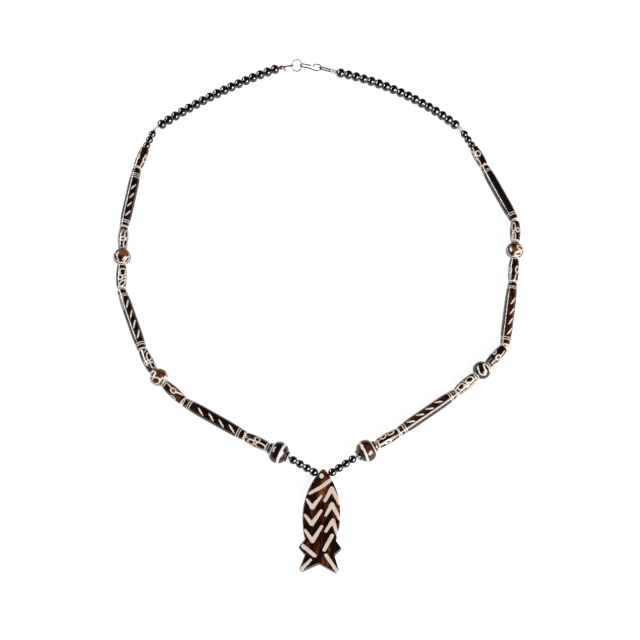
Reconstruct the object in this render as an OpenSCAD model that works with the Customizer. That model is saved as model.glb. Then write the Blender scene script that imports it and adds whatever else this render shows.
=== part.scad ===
// Dyed bone bead necklace with a fish pendant, laid out flat in an open loop.
// Units are millimetres. +Z is up, the necklace lies on z = 0, +Y points to the clasp.

/* [Bone beads] */
// Length of a long tube bead
tube_l = 31.2; // [30:0.1:33]
// Diameter of a tube bead at its middle
tube_d = 5.2; // [4.4:0.1:5.6]
// Diameter of a tube bead at its ends
tube_end_d = 4.0; // [3.6:0.1:4.2]
// Length of a tube bead's straight middle
tube_straight_l = 12; // [8:1:16]
// Length of a barrel bead
barrel_l = 11.0; // [10:0.1:12.5]
// Diameter of a barrel bead at its middle
barrel_d = 5.0; // [4.6:0.1:5.4]
// Diameter of a barrel bead at its ends
barrel_end_d = 4.0; // [3.6:0.1:4.4]
// Length of a small round bead with its collars
round_l = 7.8; // [7.6:0.1:8.6]
// Diameter of a small round bead
round_d = 8.2; // [7.6:0.1:8.8]
// Length of the ball of a small round bead, between its collars
round_ball_l = 6.6; // [6.2:0.1:7]
// Diameter of a small round bead's collars
round_collar_d = 4.2; // [3.8:0.1:4.4]
// Length of the large round bead with its collars
large_l = 9.5; // [9.2:0.1:10.4]
// Diameter of the large round bead
large_d = 9.8; // [9:0.1:10.4]
// Length of the ball of the large round bead, between its collars
large_ball_l = 7.5; // [7:0.1:8]
// Diameter of the large round bead's collars
large_collar_d = 4.8; // [4.4:0.1:5.2]
// Diameter of the hole through each bead
bore_d = 1.2; // [1.1:0.05:1.4]

/* [Black and clear beads] */
// Length of a black bead of the back strands
back_l = 3.8; // [3.6:0.05:4.1]
// Diameter of a black bead of the back strands
back_d = 4.8; // [4.5:0.1:5]
// Length of a small black bead
small_l = 3.5; // [3.3:0.1:3.7]
// Diameter of a small black bead
small_d = 3.7; // [3.5:0.1:3.9]
// Length of a clear glass bead
clear_l = 2.7; // [2.4:0.1:3]
// Diameter of a clear glass bead
clear_d = 2.6; // [2.4:0.1:2.8]
// Length of the red-brown end bead
crimp_l = 2.0; // [1.8:0.1:2.4]
// Diameter of the red-brown end bead
crimp_d = 2.2; // [2.1:0.1:2.6]
// Diameter of the hole through the two end beads, which hold the doubled thread
end_bore_d = 1.5; // [1.4:0.05:1.6]

/* [Fish pendant] */
// Half the width of the fish at its broadest
fish_half_w = 8.0; // [7.5:0.1:8.5]
// Thickness of the fish
fish_t = 4.0; // [3.6:0.1:4.6]
// Distance from the nose to the broadest place
fish_broad_y = 20; // [19:0.5:21]
// Distance from the nose to the thread hole
fish_hole_y = 2.2; // [2:0.1:2.6]
// Heading of the nose, seen from above
fish_heading = 87.6; // [84:0.2:96]

/* [Clasp and thread] */
// Diameter of the clasp wire
wire_d = 0.6; // [0.5:0.05:0.6]
// Diameter of the ring from wire middle to wire middle
ring_d = 5.6; // [5.4:0.1:6]
// Lean of the ring, its far side up
ring_lean = 38; // [36:1:42]
// Turn of the ring, its hook side down
ring_turn = 25; // [15:1:28]
// Heading of the hook from its bend to its eye
hook_heading = -10; // [-14:1:-6]
// Roll of the hook, its near leg up
hook_roll = -8; // [-12:1:-6]
// Distance between the two legs of the hook at its bend
hook_w = 1.9; // [1.9:0.05:2.2]
// Diameter of the hook's eye
eye_d = 4.3; // [4:0.1:4.6]
// Distance from the bend to the middle of the eye
eye_x = 7.4; // [7:0.1:8]
// Diameter of the thread
thread_d = 0.6; // [0.5:0.05:0.6]

/* [Layout] */
// Gap between neighbouring beads where their rims come closest
bead_gap = 0.1; // [0.05:0.01:0.2]
// Gap between the fish and the bead beside it
fish_gap = 0.35; // [0.3:0.05:0.5]
// Heading of the first black bead of the left back strand
left_back_from = 37; // [35:1:39]
// Heading of the last black bead of the left back strand
left_back_to = 23; // [21:1:25]
// Heading of the first black bead of the right back strand
right_back_from = 138; // [136:1:140]
// Heading of the last black bead of the right back strand
right_back_to = 166; // [164:1:168]

/* [Hidden] */
// Overlap of neighbours in a short run of small beads, and the sleeve that joins a long back strand
lap = 0.1;
sleeve_d = 1.9;
// Black beads in each back strand, and small black beads beside the fish and above the bone
back_n = 17;
front_n = 4;
upper_n = 3;
// Wall of a black or clear bead round its hole, and the diameter of its end face
rim = 0.45;
small_face_d = bore_d + 2 * rim;
// Length of the ball of a small black bead, which is a true sphere between its end faces
small_ball_l = sqrt(pow(small_d, 2) - pow(small_face_d, 2));
// Spread of the strands of the doubled thread inside an end bead
strand_r = 0.36;
// Distance between a strand and the wire that it goes round
wire_gap = 0.12;
// The bounding box's middle, from the thread hole of the fish, which becomes the origin
middle = [-2.01, 83.73];
// Where the fish's side arcs would meet above the nose, and the radii of its upper and lower side arcs
nose_sharp = 0.5;
upper_arc_r = (pow(fish_broad_y + nose_sharp, 2) + pow(fish_half_w, 2)) / (2 * fish_half_w);
lower_arc_r = 38;

// Kinds of bead: name, length, greatest diameter, diameter of the end faces, length of the curved body,
// how many of them lie in one straight run, and length of the straight middle
KINDS = [
  ["tube", tube_l, tube_d, tube_end_d, tube_l, 1, tube_straight_l],
  ["barrel", barrel_l, barrel_d, barrel_end_d, barrel_l, 1, 0],
  ["round", round_l, round_d, round_collar_d, round_ball_l, 1, 0],
  ["large", large_l, large_d, large_collar_d, large_ball_l, 1, 0],
  ["front", small_l, small_d, small_face_d, small_ball_l, front_n, 0],
  ["upper", small_l, small_d, small_face_d, small_ball_l, upper_n, 0],
  ["clear", clear_l, clear_d, small_face_d, clear_l, 1, 0],
  ["back", back_l, back_d, small_face_d, back_l, 1, 0],
  ["crimp", crimp_l, crimp_d, crimp_d - 0.4, crimp_l, 1, 0],
];
function kind_row(kind) = [for (row = KINDS) if (row[0] == kind) row][0];
function one_length(kind) = kind_row(kind)[1];
function bead_radius(kind) = kind_row(kind)[2] / 2;
function face_radius(kind) = kind_row(kind)[3] / 2;
function body_length(kind) = kind_row(kind)[4];
function run_count(kind) = kind_row(kind)[5];
function straight_length(kind) = kind_row(kind)[6];
function run_length(kind) = run_count(kind) * one_length(kind) - (run_count(kind) - 1) * lap;

// The beads of one side from the fish to the back strand: kind, heading on the left and on the right
ROWS = [
  ["front", 152, 31],
  ["large", 153, 31],
  ["barrel", 151, 33],
  ["tube", 150, 35],
  ["barrel", 138, 40],
  ["round", 132, 42],
  ["barrel", 118, 48],
  ["tube", 111, 80],
  ["barrel", 91, 84],
  ["round", 91, 84],
  ["barrel", 92, 85],
  ["tube", 82, 114],
  ["barrel", 73, 114],
  ["upper", 70, 118],
  ["clear", 50, 129],
];
LEFT = 1;
RIGHT = 2;
SIDES = [[LEFT, "left"], [RIGHT, "right"]];
function back_from(side) = side == LEFT ? left_back_from : right_back_from;
function back_to(side) = side == LEFT ? left_back_to : right_back_to;
function back_heading(side, i) = back_from(side) + (back_to(side) - back_from(side)) * i / (back_n - 1);
// All beads of one side as [kind, heading]
function beads(side) = concat(
  [for (row = ROWS) [row[0], row[side]]],
  [for (i = [0 : back_n - 1]) ["back", back_heading(side, i)]]
);
row_n = len(ROWS);
bead_n = row_n + back_n;
first_bone = 1;
last_bone = row_n - 3;

// Height of the thread where bead j starts: bone beads rest on the surface, small ones hang between them
fish_thread_h = fish_t / 2;
function bone_radius(j) = bead_radius(ROWS[max(first_bone, min(last_bone, j))][0]);
function height(j) =
  j == 0 ? fish_thread_h :
  j <= last_bone + 1 ? max(bone_radius(j - 1), bone_radius(j)) :
  back_d / 2;

// Directions, and the room that a bead's end face needs on its side of a bend in the thread
function aim(heading, pitch) = [cos(heading) * cos(pitch), sin(heading) * cos(pitch), sin(pitch)];
function bead_aim(side, i) = aim(
  beads(side)[i][1],
  asin((height(i + 1) - height(i)) / run_length(beads(side)[i][0]))
);
function angle_between(a, b) = acos(min(1, a * b));
function bend_room(side, j) =
  j == 0 ? fish_gap :
  j == bead_n ? bead_gap / 2 :
  let (before = beads(side)[j - 1][0])
  let (after = beads(side)[j][0])
  let (bend = angle_between(bead_aim(side, j - 1), bead_aim(side, j)))
  max(face_radius(before), face_radius(after)) * tan(bend / 2) + bead_gap / 2;

// Route of the thread through the beads of one side, from the edge of the fish to the end bead
function half_width(y) = side_arc_x(fish_half_w, upper_arc_r, y);
function fish_turn(p) = turn_z(p, fish_heading - 90);
function fish_edge(side) = fish_turn([(side == LEFT ? -1 : 1) * half_width(fish_hole_y), 0, fish_thread_h]);
function rooms(side) = [for (j = [0 : bead_n]) bend_room(side, j)];
function steps(side) =
  let (room = rooms(side))
  [for (i = [0 : bead_n - 1])
    let (rise = height(i + 1) - height(i))
    let (reach = run_length(beads(side)[i][0]) + room[i] + room[i + 1])
    let (run = sqrt(reach * reach - rise * rise))
    let (heading = beads(side)[i][1])
    [run * cos(heading), run * sin(heading), rise]
  ];
function running_sum(start, moves) = [
  for (i = 0, p = start; i <= len(moves); p = i < len(moves) ? p + moves[i] : p, i = i + 1) p
];
ROUTES = [[], running_sum(fish_edge(LEFT), steps(LEFT)), running_sum(fish_edge(RIGHT), steps(RIGHT))];
ROOMS = [[], rooms(LEFT), rooms(RIGHT)];
BEADS = [[], beads(LEFT), beads(RIGHT)];

// Turns about one axis, as rotate() makes them
function turn_x(p, a) = [p[0], p[1] * cos(a) - p[2] * sin(a), p[1] * sin(a) + p[2] * cos(a)];
function turn_y(p, a) = [p[0] * cos(a) + p[2] * sin(a), p[1], -p[0] * sin(a) + p[2] * cos(a)];
function turn_z(p, a) = [p[0] * cos(a) - p[1] * sin(a), p[0] * sin(a) + p[1] * cos(a), p[2]];
function unit(v) = v / norm(v);

// Tube swept along a route: rings square to the route, then the side faces and the two ends
function route_aim(p, i) =
  i == 0 ? unit(p[1] - p[0]) :
  i == len(p) - 1 ? unit(p[i] - p[i - 1]) :
  unit(unit(p[i + 1] - p[i]) + unit(p[i] - p[i - 1]));
function across(v, aim) = unit(v - (v * aim) * aim);
function route_sides(p, start) = [
  for (i = 0, u = across(start, route_aim(p, 0)); i < len(p);
    i = i + 1, u = i < len(p) ? across(u, route_aim(p, i)) : u) u
];
module tube_along(p, d, sides, start) {
  n = len(p);
  u = route_sides(p, start);
  rings = [for (i = [0 : n - 1])
    let (v = cross(route_aim(p, i), u[i]))
    for (k = [0 : sides - 1])
      p[i] + d / 2 * (cos(360 * k / sides) * u[i] + sin(360 * k / sides) * v)
  ];
  walls = [for (i = [0 : n - 2])
    for (k = [0 : sides - 1])
      let (a = i * sides + k)
      let (b = i * sides + (k + 1) % sides)
      for (corners = [[a, a + sides, b + sides], [a, b + sides, b]]) corners
  ];
  near_end = [for (k = [1 : sides - 2]) [0, k, k + 1]];
  far_end = [for (k = [1 : sides - 2]) [0, k + 1, k] + [1, 1, 1] * (n - 1) * sides];
  polyhedron(points = rings, faces = concat(walls, near_end, far_end));
}

// Clasp ring: its middle, from the left end of the beads, and points on its wire
LEFT_END = ROUTES[LEFT][bead_n];
RIGHT_END = ROUTES[RIGHT][bead_n];
ring_from_end = [9.0, 1.6];
ring_rise = ring_d / 2 * sqrt(1 - pow(cos(ring_lean) * cos(ring_turn), 2)) + wire_d / 2;
RING_AT = [LEFT_END[0] + ring_from_end[0], LEFT_END[1] + ring_from_end[1], ring_rise];
function ring_frame(p) = turn_x(turn_y(p, ring_turn), ring_lean);
function ring_point(a) = RING_AT + ring_frame([ring_d / 2 * cos(a), ring_d / 2 * sin(a), 0]);
function ring_tangent(a) = ring_frame([-sin(a), cos(a), 0]);

// Hook: one wire from its tip, round the bend that holds the ring, along the near leg and round the eye
hook_seat = [0.06, -0.03, 0.03];
HOOK_AT = ring_point(0) + hook_seat;
function hook_frame(p) = turn_z(turn_x(p, hook_roll), hook_heading);
function arc(centre, r, from, to, step) = [
  for (a = [from : step : to]) [centre[0] + r * cos(a), centre[1] + r * sin(a), 0]
];
tip_x = 4.6;
leg_x = 2.9;
eye_from = -125;
eye_to = 140;
eye_end = [[5.55, 0.8, 0], [5.5, 0.1, 0]];
HOOK_ROUTE = [for (p = concat(
  [[tip_x, hook_w * 0.36, 0], [tip_x / 2, hook_w * 0.46, 0]],
  arc([0, 0], hook_w / 2, 90, 270, 22.5),
  [[leg_x, -hook_w * 0.52, 0]],
  arc([eye_x, 0], eye_d / 2, eye_from, eye_to, 16.5625),
  eye_end
)) HOOK_AT + hook_frame(p)];
EYE_AT = HOOK_AT + hook_frame([eye_x + eye_d / 2, 0, 0]);

// Doubled thread at the clasp: the axis of each end bead, and the turn round the wire
turn_r = (wire_d + thread_d) / 2 + wire_gap;
function wire_turn(at, inward, up, along, shift) = [
  for (a = [-90 : 30 : 90])
    at + turn_r * (cos(a) * inward + sin(a) * up) + shift * a / 90 * along
];
RING_CATCH = ring_point(180);
left_in = unit(RING_CATCH - LEFT_END);
left_up = unit(cross(left_in, ring_tangent(180))) * -1;
left_along = cross(left_up, left_in);
right_in = unit(EYE_AT - RIGHT_END);
right_along = unit(cross([0, 0, 1], right_in));
right_up = cross(right_in, right_along);
eye_along = hook_frame([0, -1, 0]);
// Gap before an end bead, and the share of a strand's spread that it has already where the black beads end
end_gap = 0.35;
end_lead = 0.5;
crimp_from = end_gap;
crimp_to = end_gap + crimp_l;
clear_to = end_gap + clear_l;
// The three strands inside the red-brown bead: to the beads, from the ring, and out to the cut tail
function strand_at(angle) = strand_r * (sin(angle) * left_up + cos(angle) * left_along);
to_beads = strand_at(90);
from_ring = strand_at(-30);
to_tail = strand_at(210);
tail_bend = [0.3, -0.5, -0.3];
tail_end = [0.5, -1.5, -1.1];
LEFT_THREAD = concat(
  [LEFT_END + to_beads * end_lead, LEFT_END + left_in * crimp_from + to_beads],
  [LEFT_END + left_in * crimp_to + to_beads],
  reverse(wire_turn(RING_CATCH, left_in, left_up, left_along, 0)),
  [LEFT_END + left_in * crimp_to + from_ring, LEFT_END + left_in * (crimp_from + 0.5) + from_ring],
  [LEFT_END + left_in * (crimp_from + 0.5) + to_tail],
  [for (p = [[0, 0, 0], tail_bend, tail_end]) LEFT_END + left_in * (crimp_to + 0.35) + to_tail + p]
);
RIGHT_THREAD = concat(
  [RIGHT_END + right_in * end_gap - right_along * strand_r],
  [RIGHT_END + right_in * clear_to - right_along * strand_r],
  wire_turn(EYE_AT, right_in, right_up, eye_along, strand_r),
  [RIGHT_END + right_in * clear_to + right_along * strand_r],
  [RIGHT_END + right_in * end_gap + right_along * strand_r],
  [RIGHT_END + right_along * strand_r * end_lead]
);
function reverse(list) = [for (i = [len(list) - 1 : -1 : 0]) list[i]];
// A ring of the thread at both ends of each bead up to the back strands, then at every second black bead
thread_stops = concat([for (j = [0 : row_n]) j], [for (j = [row_n + 2 : 2 : bead_n - 1]) j]);
THREAD_ROUTE = concat(
  RIGHT_THREAD,
  reverse([for (j = thread_stops) ROUTES[RIGHT][j]]),
  [for (j = thread_stops) ROUTES[LEFT][j]],
  LEFT_THREAD
);

// Outline of the fish: side arcs from the nose, then corners of fin, tail and notch as [x, y, radius]
nose_r = 1.2;
body_end_y = 30.4;
arc_steps = 8;
function between(a, b, share) = a + (b - a) * share;
function side_arc_x(w, r, y) = w - r + sqrt(r * r - pow(fish_broad_y - y, 2));
function side_arc(r, from, to) = [
  for (i = [0 : arc_steps]) let (y = between(from, to, i / arc_steps))
    [side_arc_x(fish_half_w, r, y), -y, 0]
];
FISH_SIDE = concat(
  side_arc(upper_arc_r, 1.8, fish_broad_y),
  [for (p = side_arc(lower_arc_r, fish_broad_y, body_end_y - 0.6)) if (p[1] < -fish_broad_y) p],
  [[side_arc_x(fish_half_w, lower_arc_r, body_end_y), -body_end_y - 0.2, 0.6]],
  [[9.1, -33.9, 0.8], [6.2, -36.9, 0.8], [8.9, -45.0, 0.9]],
  [[4.2, -42.6, 3]]
);
FISH_CORNERS = concat(
  [[0, nose_sharp, nose_r]],
  FISH_SIDE,
  [[0, -40.5, 0.5]],
  [for (p = reverse(FISH_SIDE)) [-p[0], p[1], p[2]]]
);
round_steps = 4;
// A corner cut back to where its arc touches both sides, with the arc's points between
function flat(p) = [p[0], p[1]];
function corner_points(before, at, after) =
  let (a = unit(flat(before) - flat(at)))
  let (b = unit(flat(after) - flat(at)))
  let (half = acos(max(-1, min(1, a * b))) / 2)
  let (back = at[2] / tan(half))
  let (centre = flat(at) + unit(a + b) * at[2] / sin(half))
  let (from = flat(at) + a * back - centre)
  let (to = flat(at) + b * back - centre)
  [for (i = [0 : round_steps])
    let (share = i / round_steps)
    let (sweep = angle_between(unit(from), unit(to)))
    centre + (sin((1 - share) * sweep) * from + sin(share * sweep) * to) / sin(sweep)
  ];
function rounded(corners) = [
  for (i = [0 : len(corners) - 1])
    let (n = len(corners))
    for (p = corners[i][2] == 0 ? [flat(corners[i])] :
      corner_points(corners[(i + n - 1) % n], corners[i], corners[(i + 1) % n])) p
];

// Names of the bone beads of one side, counted from the fish, with their places in ROWS
function count_before(kind, i) = len([for (k = [first_bone : i]) if (ROWS[k][0] == kind) k]);
function bone_name(side_name, i) =
  ROWS[i][0] == "large" ? str(side_name, "_large_round_bead") :
  str(side_name, "_", ROWS[i][0], "_bead_", count_before(ROWS[i][0], i));
BONE = [for (side = SIDES) for (i = [first_bone : last_bone]) [bone_name(side[1], i), side[0], i]];

bone_brown = "#3a2216";
bead_black = "#17161a";
clear_glass = "#d9d8d2";
crimp_red = "#7a2f2c";
thread_olive = "#4f4836";
wire_grey = "#9b9c98";

// Half outline of a curved stretch of a bead, its axis along Y and its greatest width at middle_y
module bulge(side, arc_r, middle_y, from_y, to_y) {
  intersection() {
    translate([side - arc_r, middle_y]) circle(r = arc_r, $fn = max(48, 4 * ceil(2 * arc_r)));
    translate([0, from_y]) square([side + 1, to_y - from_y]);
  }
}

// Half outline of one bead: its curved body, and a straight middle and collars where it has them
module bead_outline(kind) {
  body_h = body_length(kind) / 2;
  full_h = one_length(kind) / 2;
  flat_h = straight_length(kind) / 2;
  face = face_radius(kind);
  side = bead_radius(kind);
  arc_r = (pow(body_h - flat_h, 2) + pow(side - face, 2)) / (2 * (side - face));
  if (flat_h == 0) bulge(side, arc_r, 0, -body_h, body_h);
  if (flat_h > 0) {
    translate([0, -flat_h]) square([side, 2 * flat_h]);
    bulge(side, arc_r, flat_h, flat_h, body_h);
    bulge(side, arc_r, -flat_h, -body_h, -flat_h);
  }
  if (full_h > body_h) translate([0, -full_h]) square([face, 2 * full_h]);
}

// Half section of a straight run of beads with the hole through them all
module run_section(kind, hole) {
  count = run_count(kind);
  pitch = one_length(kind) - lap;
  half = run_length(kind) / 2;
  difference() {
    for (i = [0 : count - 1]) translate([0, (i - (count - 1) / 2) * pitch]) bead_outline(kind);
    translate([-1, -half - 1]) square([1 + hole / 2, 2 * half + 2]);
  }
}

module bead(kind, hole) {
  rotate_extrude($fn = 48) run_section(kind, hole);
}

// Puts a thing made along +Z at the origin on the line from one point to another, at a distance along it
module on_line(from, to, distance) {
  line = to - from;
  heading = atan2(line[1], line[0]);
  tilt = acos(line[2] / norm(line));
  translate(from + unit(line) * distance) rotate([0, tilt, heading]) children();
}

module in_place() {
  translate([-middle[0], -middle[1], 0]) children();
}

module strung_bead(side, i, hole) {
  kind = BEADS[side][i][0];
  distance = ROOMS[side][i] + run_length(kind) / 2;
  on_line(ROUTES[side][i], ROUTES[side][i + 1], distance) bead(kind, hole);
}

module bone_bead(side, i) {
  color(bone_brown) in_place() strung_bead(side, i, bore_d);
}

module front_beads(side) {
  color(bead_black) in_place() strung_bead(side, 0, bore_d);
}

module upper_beads(side) {
  color(bead_black) in_place() strung_bead(side, row_n - 2, bore_d);
}

module clear_bead(side) {
  color(clear_glass) in_place() strung_bead(side, row_n - 1, bore_d);
}

// Rod along the level arc of a back strand, from and to counted in beads from the first bead's middle
module back_arc(side, d, from, to) {
  bend = (back_to(side) - back_from(side)) / (back_n - 1);
  turn = bend > 0 ? 1 : -1;
  second = ROUTES[side][row_n + 1];
  pitch = norm(ROUTES[side][row_n + 2] - second);
  arc_r = pitch / 2 / sin(abs(bend) / 2);
  centre = second + arc_r * aim(back_from(side) + bend / 2 + turn * 90, 0);
  first = back_from(side) + bend * (turn > 0 ? from : to) - turn * 90;
  translate(centre) rotate([0, 0, first]) rotate_extrude(angle = abs(bend) * (to - from), $fn = 400)
    translate([arc_r, 0]) circle(d = d, $fn = 24);
}

// Black beads along a level arc, joined by a sleeve, with one curved hole through them all
module back_beads(side) {
  color(bead_black) in_place() difference() {
    union() {
      for (i = [row_n : bead_n - 1]) strung_bead(side, i, 0);
      back_arc(side, sleeve_d, 0, back_n - 1);
    }
    back_arc(side, bore_d, -1, back_n);
  }
}

module end_bead(kind, from, to, distance) {
  in_place() on_line(from, to, distance + run_length(kind) / 2) bead(kind, end_bore_d);
}

module left_end_bead() {
  color(crimp_red) end_bead("crimp", LEFT_END, RING_CATCH, end_gap);
}

module right_end_bead() {
  color(clear_glass) end_bead("clear", RIGHT_END, EYE_AT, end_gap);
}

module thread() {
  color(thread_olive) in_place() tube_along(THREAD_ROUTE, thread_d, 8, [0, 0, 1]);
}

module clasp_ring() {
  color(wire_grey) in_place() translate(RING_AT) rotate([ring_lean, 0, 0]) rotate([0, ring_turn, 0])
    rotate_extrude($fn = 60) translate([ring_d / 2, 0]) circle(d = wire_d, $fn = 24);
}

module clasp_hook() {
  color(wire_grey) in_place() tube_along(HOOK_ROUTE, wire_d, 12, [0, 0, 1]);
}

// Flat fish, drilled across its head for the thread
module fish_pendant() {
  color(bone_brown) in_place() rotate([0, 0, fish_heading - 90]) difference() {
    translate([0, fish_hole_y, 0]) linear_extrude(height = fish_t) polygon(rounded(FISH_CORNERS));
    translate([-10, 0, fish_thread_h]) rotate([0, 90, 0]) cylinder(h = 20, d = bore_d, $fn = 32);
  }
}

fish_pendant();
for (bone = BONE) bone_bead(bone[1], bone[2]);
for (side = SIDES) front_beads(side[0]);
for (side = SIDES) upper_beads(side[0]);
for (side = SIDES) clear_bead(side[0]);
for (side = SIDES) back_beads(side[0]);
left_end_bead();
right_end_bead();
thread();
clasp_ring();
clasp_hook();
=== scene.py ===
"""Looks of a dyed bone bead necklace with a fish pendant, laid out flat in an open loop.

Lengths in the tables and in the making functions are millimetres. Blender's own lengths are metres.
"""
import math

import bpy
import numpy as np
from bpy.props import FloatProperty, FloatVectorProperty, IntProperty, PointerProperty
from bpy.types import Operator, Panel, PropertyGroup
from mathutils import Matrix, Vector
from mathutils.geometry import delaunay_2d_cdt


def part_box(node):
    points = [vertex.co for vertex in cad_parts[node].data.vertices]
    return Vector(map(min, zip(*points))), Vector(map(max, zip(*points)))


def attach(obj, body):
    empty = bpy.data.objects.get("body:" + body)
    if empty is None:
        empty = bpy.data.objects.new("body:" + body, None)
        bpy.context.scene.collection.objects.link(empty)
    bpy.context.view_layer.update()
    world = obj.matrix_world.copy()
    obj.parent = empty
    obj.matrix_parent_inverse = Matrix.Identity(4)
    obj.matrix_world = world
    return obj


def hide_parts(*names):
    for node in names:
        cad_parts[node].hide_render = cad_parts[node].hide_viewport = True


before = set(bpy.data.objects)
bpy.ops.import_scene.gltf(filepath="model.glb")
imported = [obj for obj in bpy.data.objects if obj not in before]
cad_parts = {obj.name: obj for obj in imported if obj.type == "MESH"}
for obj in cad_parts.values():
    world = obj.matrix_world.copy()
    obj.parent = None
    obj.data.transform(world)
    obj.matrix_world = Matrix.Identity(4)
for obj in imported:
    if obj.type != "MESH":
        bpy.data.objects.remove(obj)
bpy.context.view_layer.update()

bl_info = {
    "name": "Bone Bead Necklace",
    "version": (1, 0, 0),
    "blender": (4, 5, 0),
    "location": "View3D > Sidebar > Necklace",
    "description": "Makes a dyed bone bead necklace with a fish pendant, one kind of piece at a time",
    "category": "Add Mesh",
}

MM = 0.001
LEFT = 0
RIGHT = 1
SIDES = (LEFT, RIGHT)
SIDE_NAMES = ("left", "right")
# Which way is outwards on each side, along X
OUTWARDS = (-1, 1)
Z = np.array([0.0, 0.0, 1.0])


# Properties
def length_property(name, description, size, least, most):
    return FloatProperty(
        name=name, description=description, default=size * MM, min=least * MM, max=most * MM,
        unit="LENGTH", precision=5,
    )


def colour_property(name, description, red, green, blue):
    return FloatVectorProperty(
        name=name, description=description, default=(red, green, blue), min=0.0, max=1.0,
        size=3, subtype="COLOR",
    )


class NecklaceBeadSizes(PropertyGroup):
    tube_length: length_property("Tube length", "Length of a long tube bead", 31.2, 30, 33)
    tube_width: length_property("Tube width", "Diameter of a tube bead at its middle", 5.2, 4.4, 5.6)
    tube_end: length_property("Tube end", "Diameter of a tube bead at its ends", 4.0, 3.6, 4.2)
    tube_straight: length_property("Tube straight", "Length of its straight middle", 12.0, 8, 16)
    barrel_length: length_property("Barrel length", "Length of a barrel bead", 11.0, 10, 12.5)
    barrel_width: length_property("Barrel width", "Diameter of a barrel at its middle", 5.0, 4.6, 5.4)
    barrel_end: length_property("Barrel end", "Diameter of a barrel at its ends", 4.0, 3.6, 4.4)
    round_length: length_property("Round length", "Length of a small round with collars", 7.8, 7.6, 8.6)
    round_width: length_property("Round width", "Diameter of a small round bead", 8.2, 7.6, 8.8)
    round_ball: length_property("Round ball", "Length of its ball between the collars", 6.6, 6.2, 7)
    round_collar: length_property("Round collar", "Diameter of its collars", 4.2, 3.8, 4.4)
    large_length: length_property("Large length", "Length of the large round bead", 9.5, 9.2, 10.4)
    large_width: length_property("Large width", "Diameter of the large round bead", 9.8, 9, 10.4)
    large_ball: length_property("Large ball", "Length of its ball between the collars", 7.5, 7, 8)
    large_collar: length_property("Large collar", "Diameter of its collars", 4.8, 4.4, 5.2)
    bore: length_property("Hole", "Diameter of the hole through each bead", 1.2, 1.1, 1.4)
    back_length: length_property("Black length", "Length of a black bead of the back", 3.8, 3.6, 4.1)
    back_width: length_property("Black width", "Diameter of a black bead of the back", 4.8, 4.5, 5)
    small_length: length_property("Small length", "Length of a small black bead", 3.5, 3.3, 3.7)
    small_width: length_property("Small width", "Diameter of a small black bead", 3.7, 3.5, 3.9)
    clear_length: length_property("Clear length", "Length of a clear glass bead", 2.7, 2.4, 3)
    clear_width: length_property("Clear width", "Diameter of a clear glass bead", 2.6, 2.4, 2.8)
    end_length: length_property("End length", "Length of the red-brown end bead", 2.0, 1.8, 2.4)
    end_width: length_property("End width", "Diameter of the red-brown end bead", 2.2, 2.1, 2.6)
    end_bore: length_property("End hole", "Diameter of the hole of the two end beads", 1.5, 1.4, 1.6)
    back_count: IntProperty(
        name="Black beads", description="Black beads in each back strand", default=17, min=3, max=30)


class NecklaceFishSizes(PropertyGroup):
    half_width: length_property("Half width", "Half the width of the fish at its broadest", 8, 7.5, 8.5)
    thickness: length_property("Thickness", "Thickness of the fish", 4.0, 3.6, 4.6)
    broad_at: length_property("Broadest at", "From the nose to the broadest place", 20, 19, 21)
    hole_at: length_property("Hole at", "From the nose to the thread hole", 2.2, 2, 2.6)
    edge_round: length_property("Edge", "Radius of the rounded edges", 0.6, 0.2, 0.9)
    heading: FloatProperty(
        name="Heading", description="Heading of the nose, seen from above",
        default=math.radians(87.6), subtype="ANGLE", unit="ROTATION")


class NecklaceClaspSizes(PropertyGroup):
    wire: length_property("Wire", "Diameter of the clasp wire", 0.6, 0.5, 0.6)
    ring_width: length_property("Ring", "Diameter of the ring between wire middles", 5.6, 5.4, 6)
    hook_width: length_property("Hook", "Distance between the hook's legs", 1.9, 1.9, 2.2)
    eye_width: length_property("Eye", "Diameter of the hook's eye", 4.3, 4, 4.6)
    eye_at: length_property("Eye at", "From the hook's bend to the middle of its eye", 7.4, 7, 8)
    thread: length_property("Thread", "Diameter of the thread", 0.74, 0.5, 0.8)
    twist: length_property("Twist", "Length of one turn of the thread's twist", 2.0, 1, 4)


class NecklaceColours(PropertyGroup):
    dye: colour_property("Dye", "Black-brown dye of the bone", 0.0036, 0.0009, 0.0004)
    russet: colour_property("Russet", "Red-brown of the thinner dye", 0.052, 0.0112, 0.0034)
    amber: colour_property("Amber", "Amber where the dye is thinnest", 0.115, 0.052, 0.007)
    bone: colour_property("Bone", "Undyed bone of the lines on the beads", 0.41, 0.36, 0.315)
    fish_bone: colour_property("Fish bone", "Undyed bone of the lines on the fish", 0.31, 0.258, 0.222)
    bone_grey: colour_property("Greyed bone", "Undyed bone that has greyed", 0.32, 0.318, 0.305)
    bone_stain: colour_property("Stained bone", "Undyed bone where it is stained", 0.255, 0.18, 0.125)
    black: colour_property("Black", "Glossy black beads", 0.0016, 0.0013, 0.0011)
    red: colour_property("Red-brown", "The end bead at the ring", 0.11, 0.016, 0.011)
    glass: colour_property("Glass", "Clear glass beads", 0.80, 0.81, 0.77)
    thread: colour_property("Thread", "Olive-brown thread", 0.032, 0.024, 0.013)
    wire: colour_property("Wire", "Grey plating of the clasp wire", 0.12, 0.115, 0.10)
    bronze: colour_property("Bronze", "Bronze where the plating is worn", 0.085, 0.045, 0.02)
    floor: colour_property("Floor", "The pale floor", 0.26, 0.26, 0.258)


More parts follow.
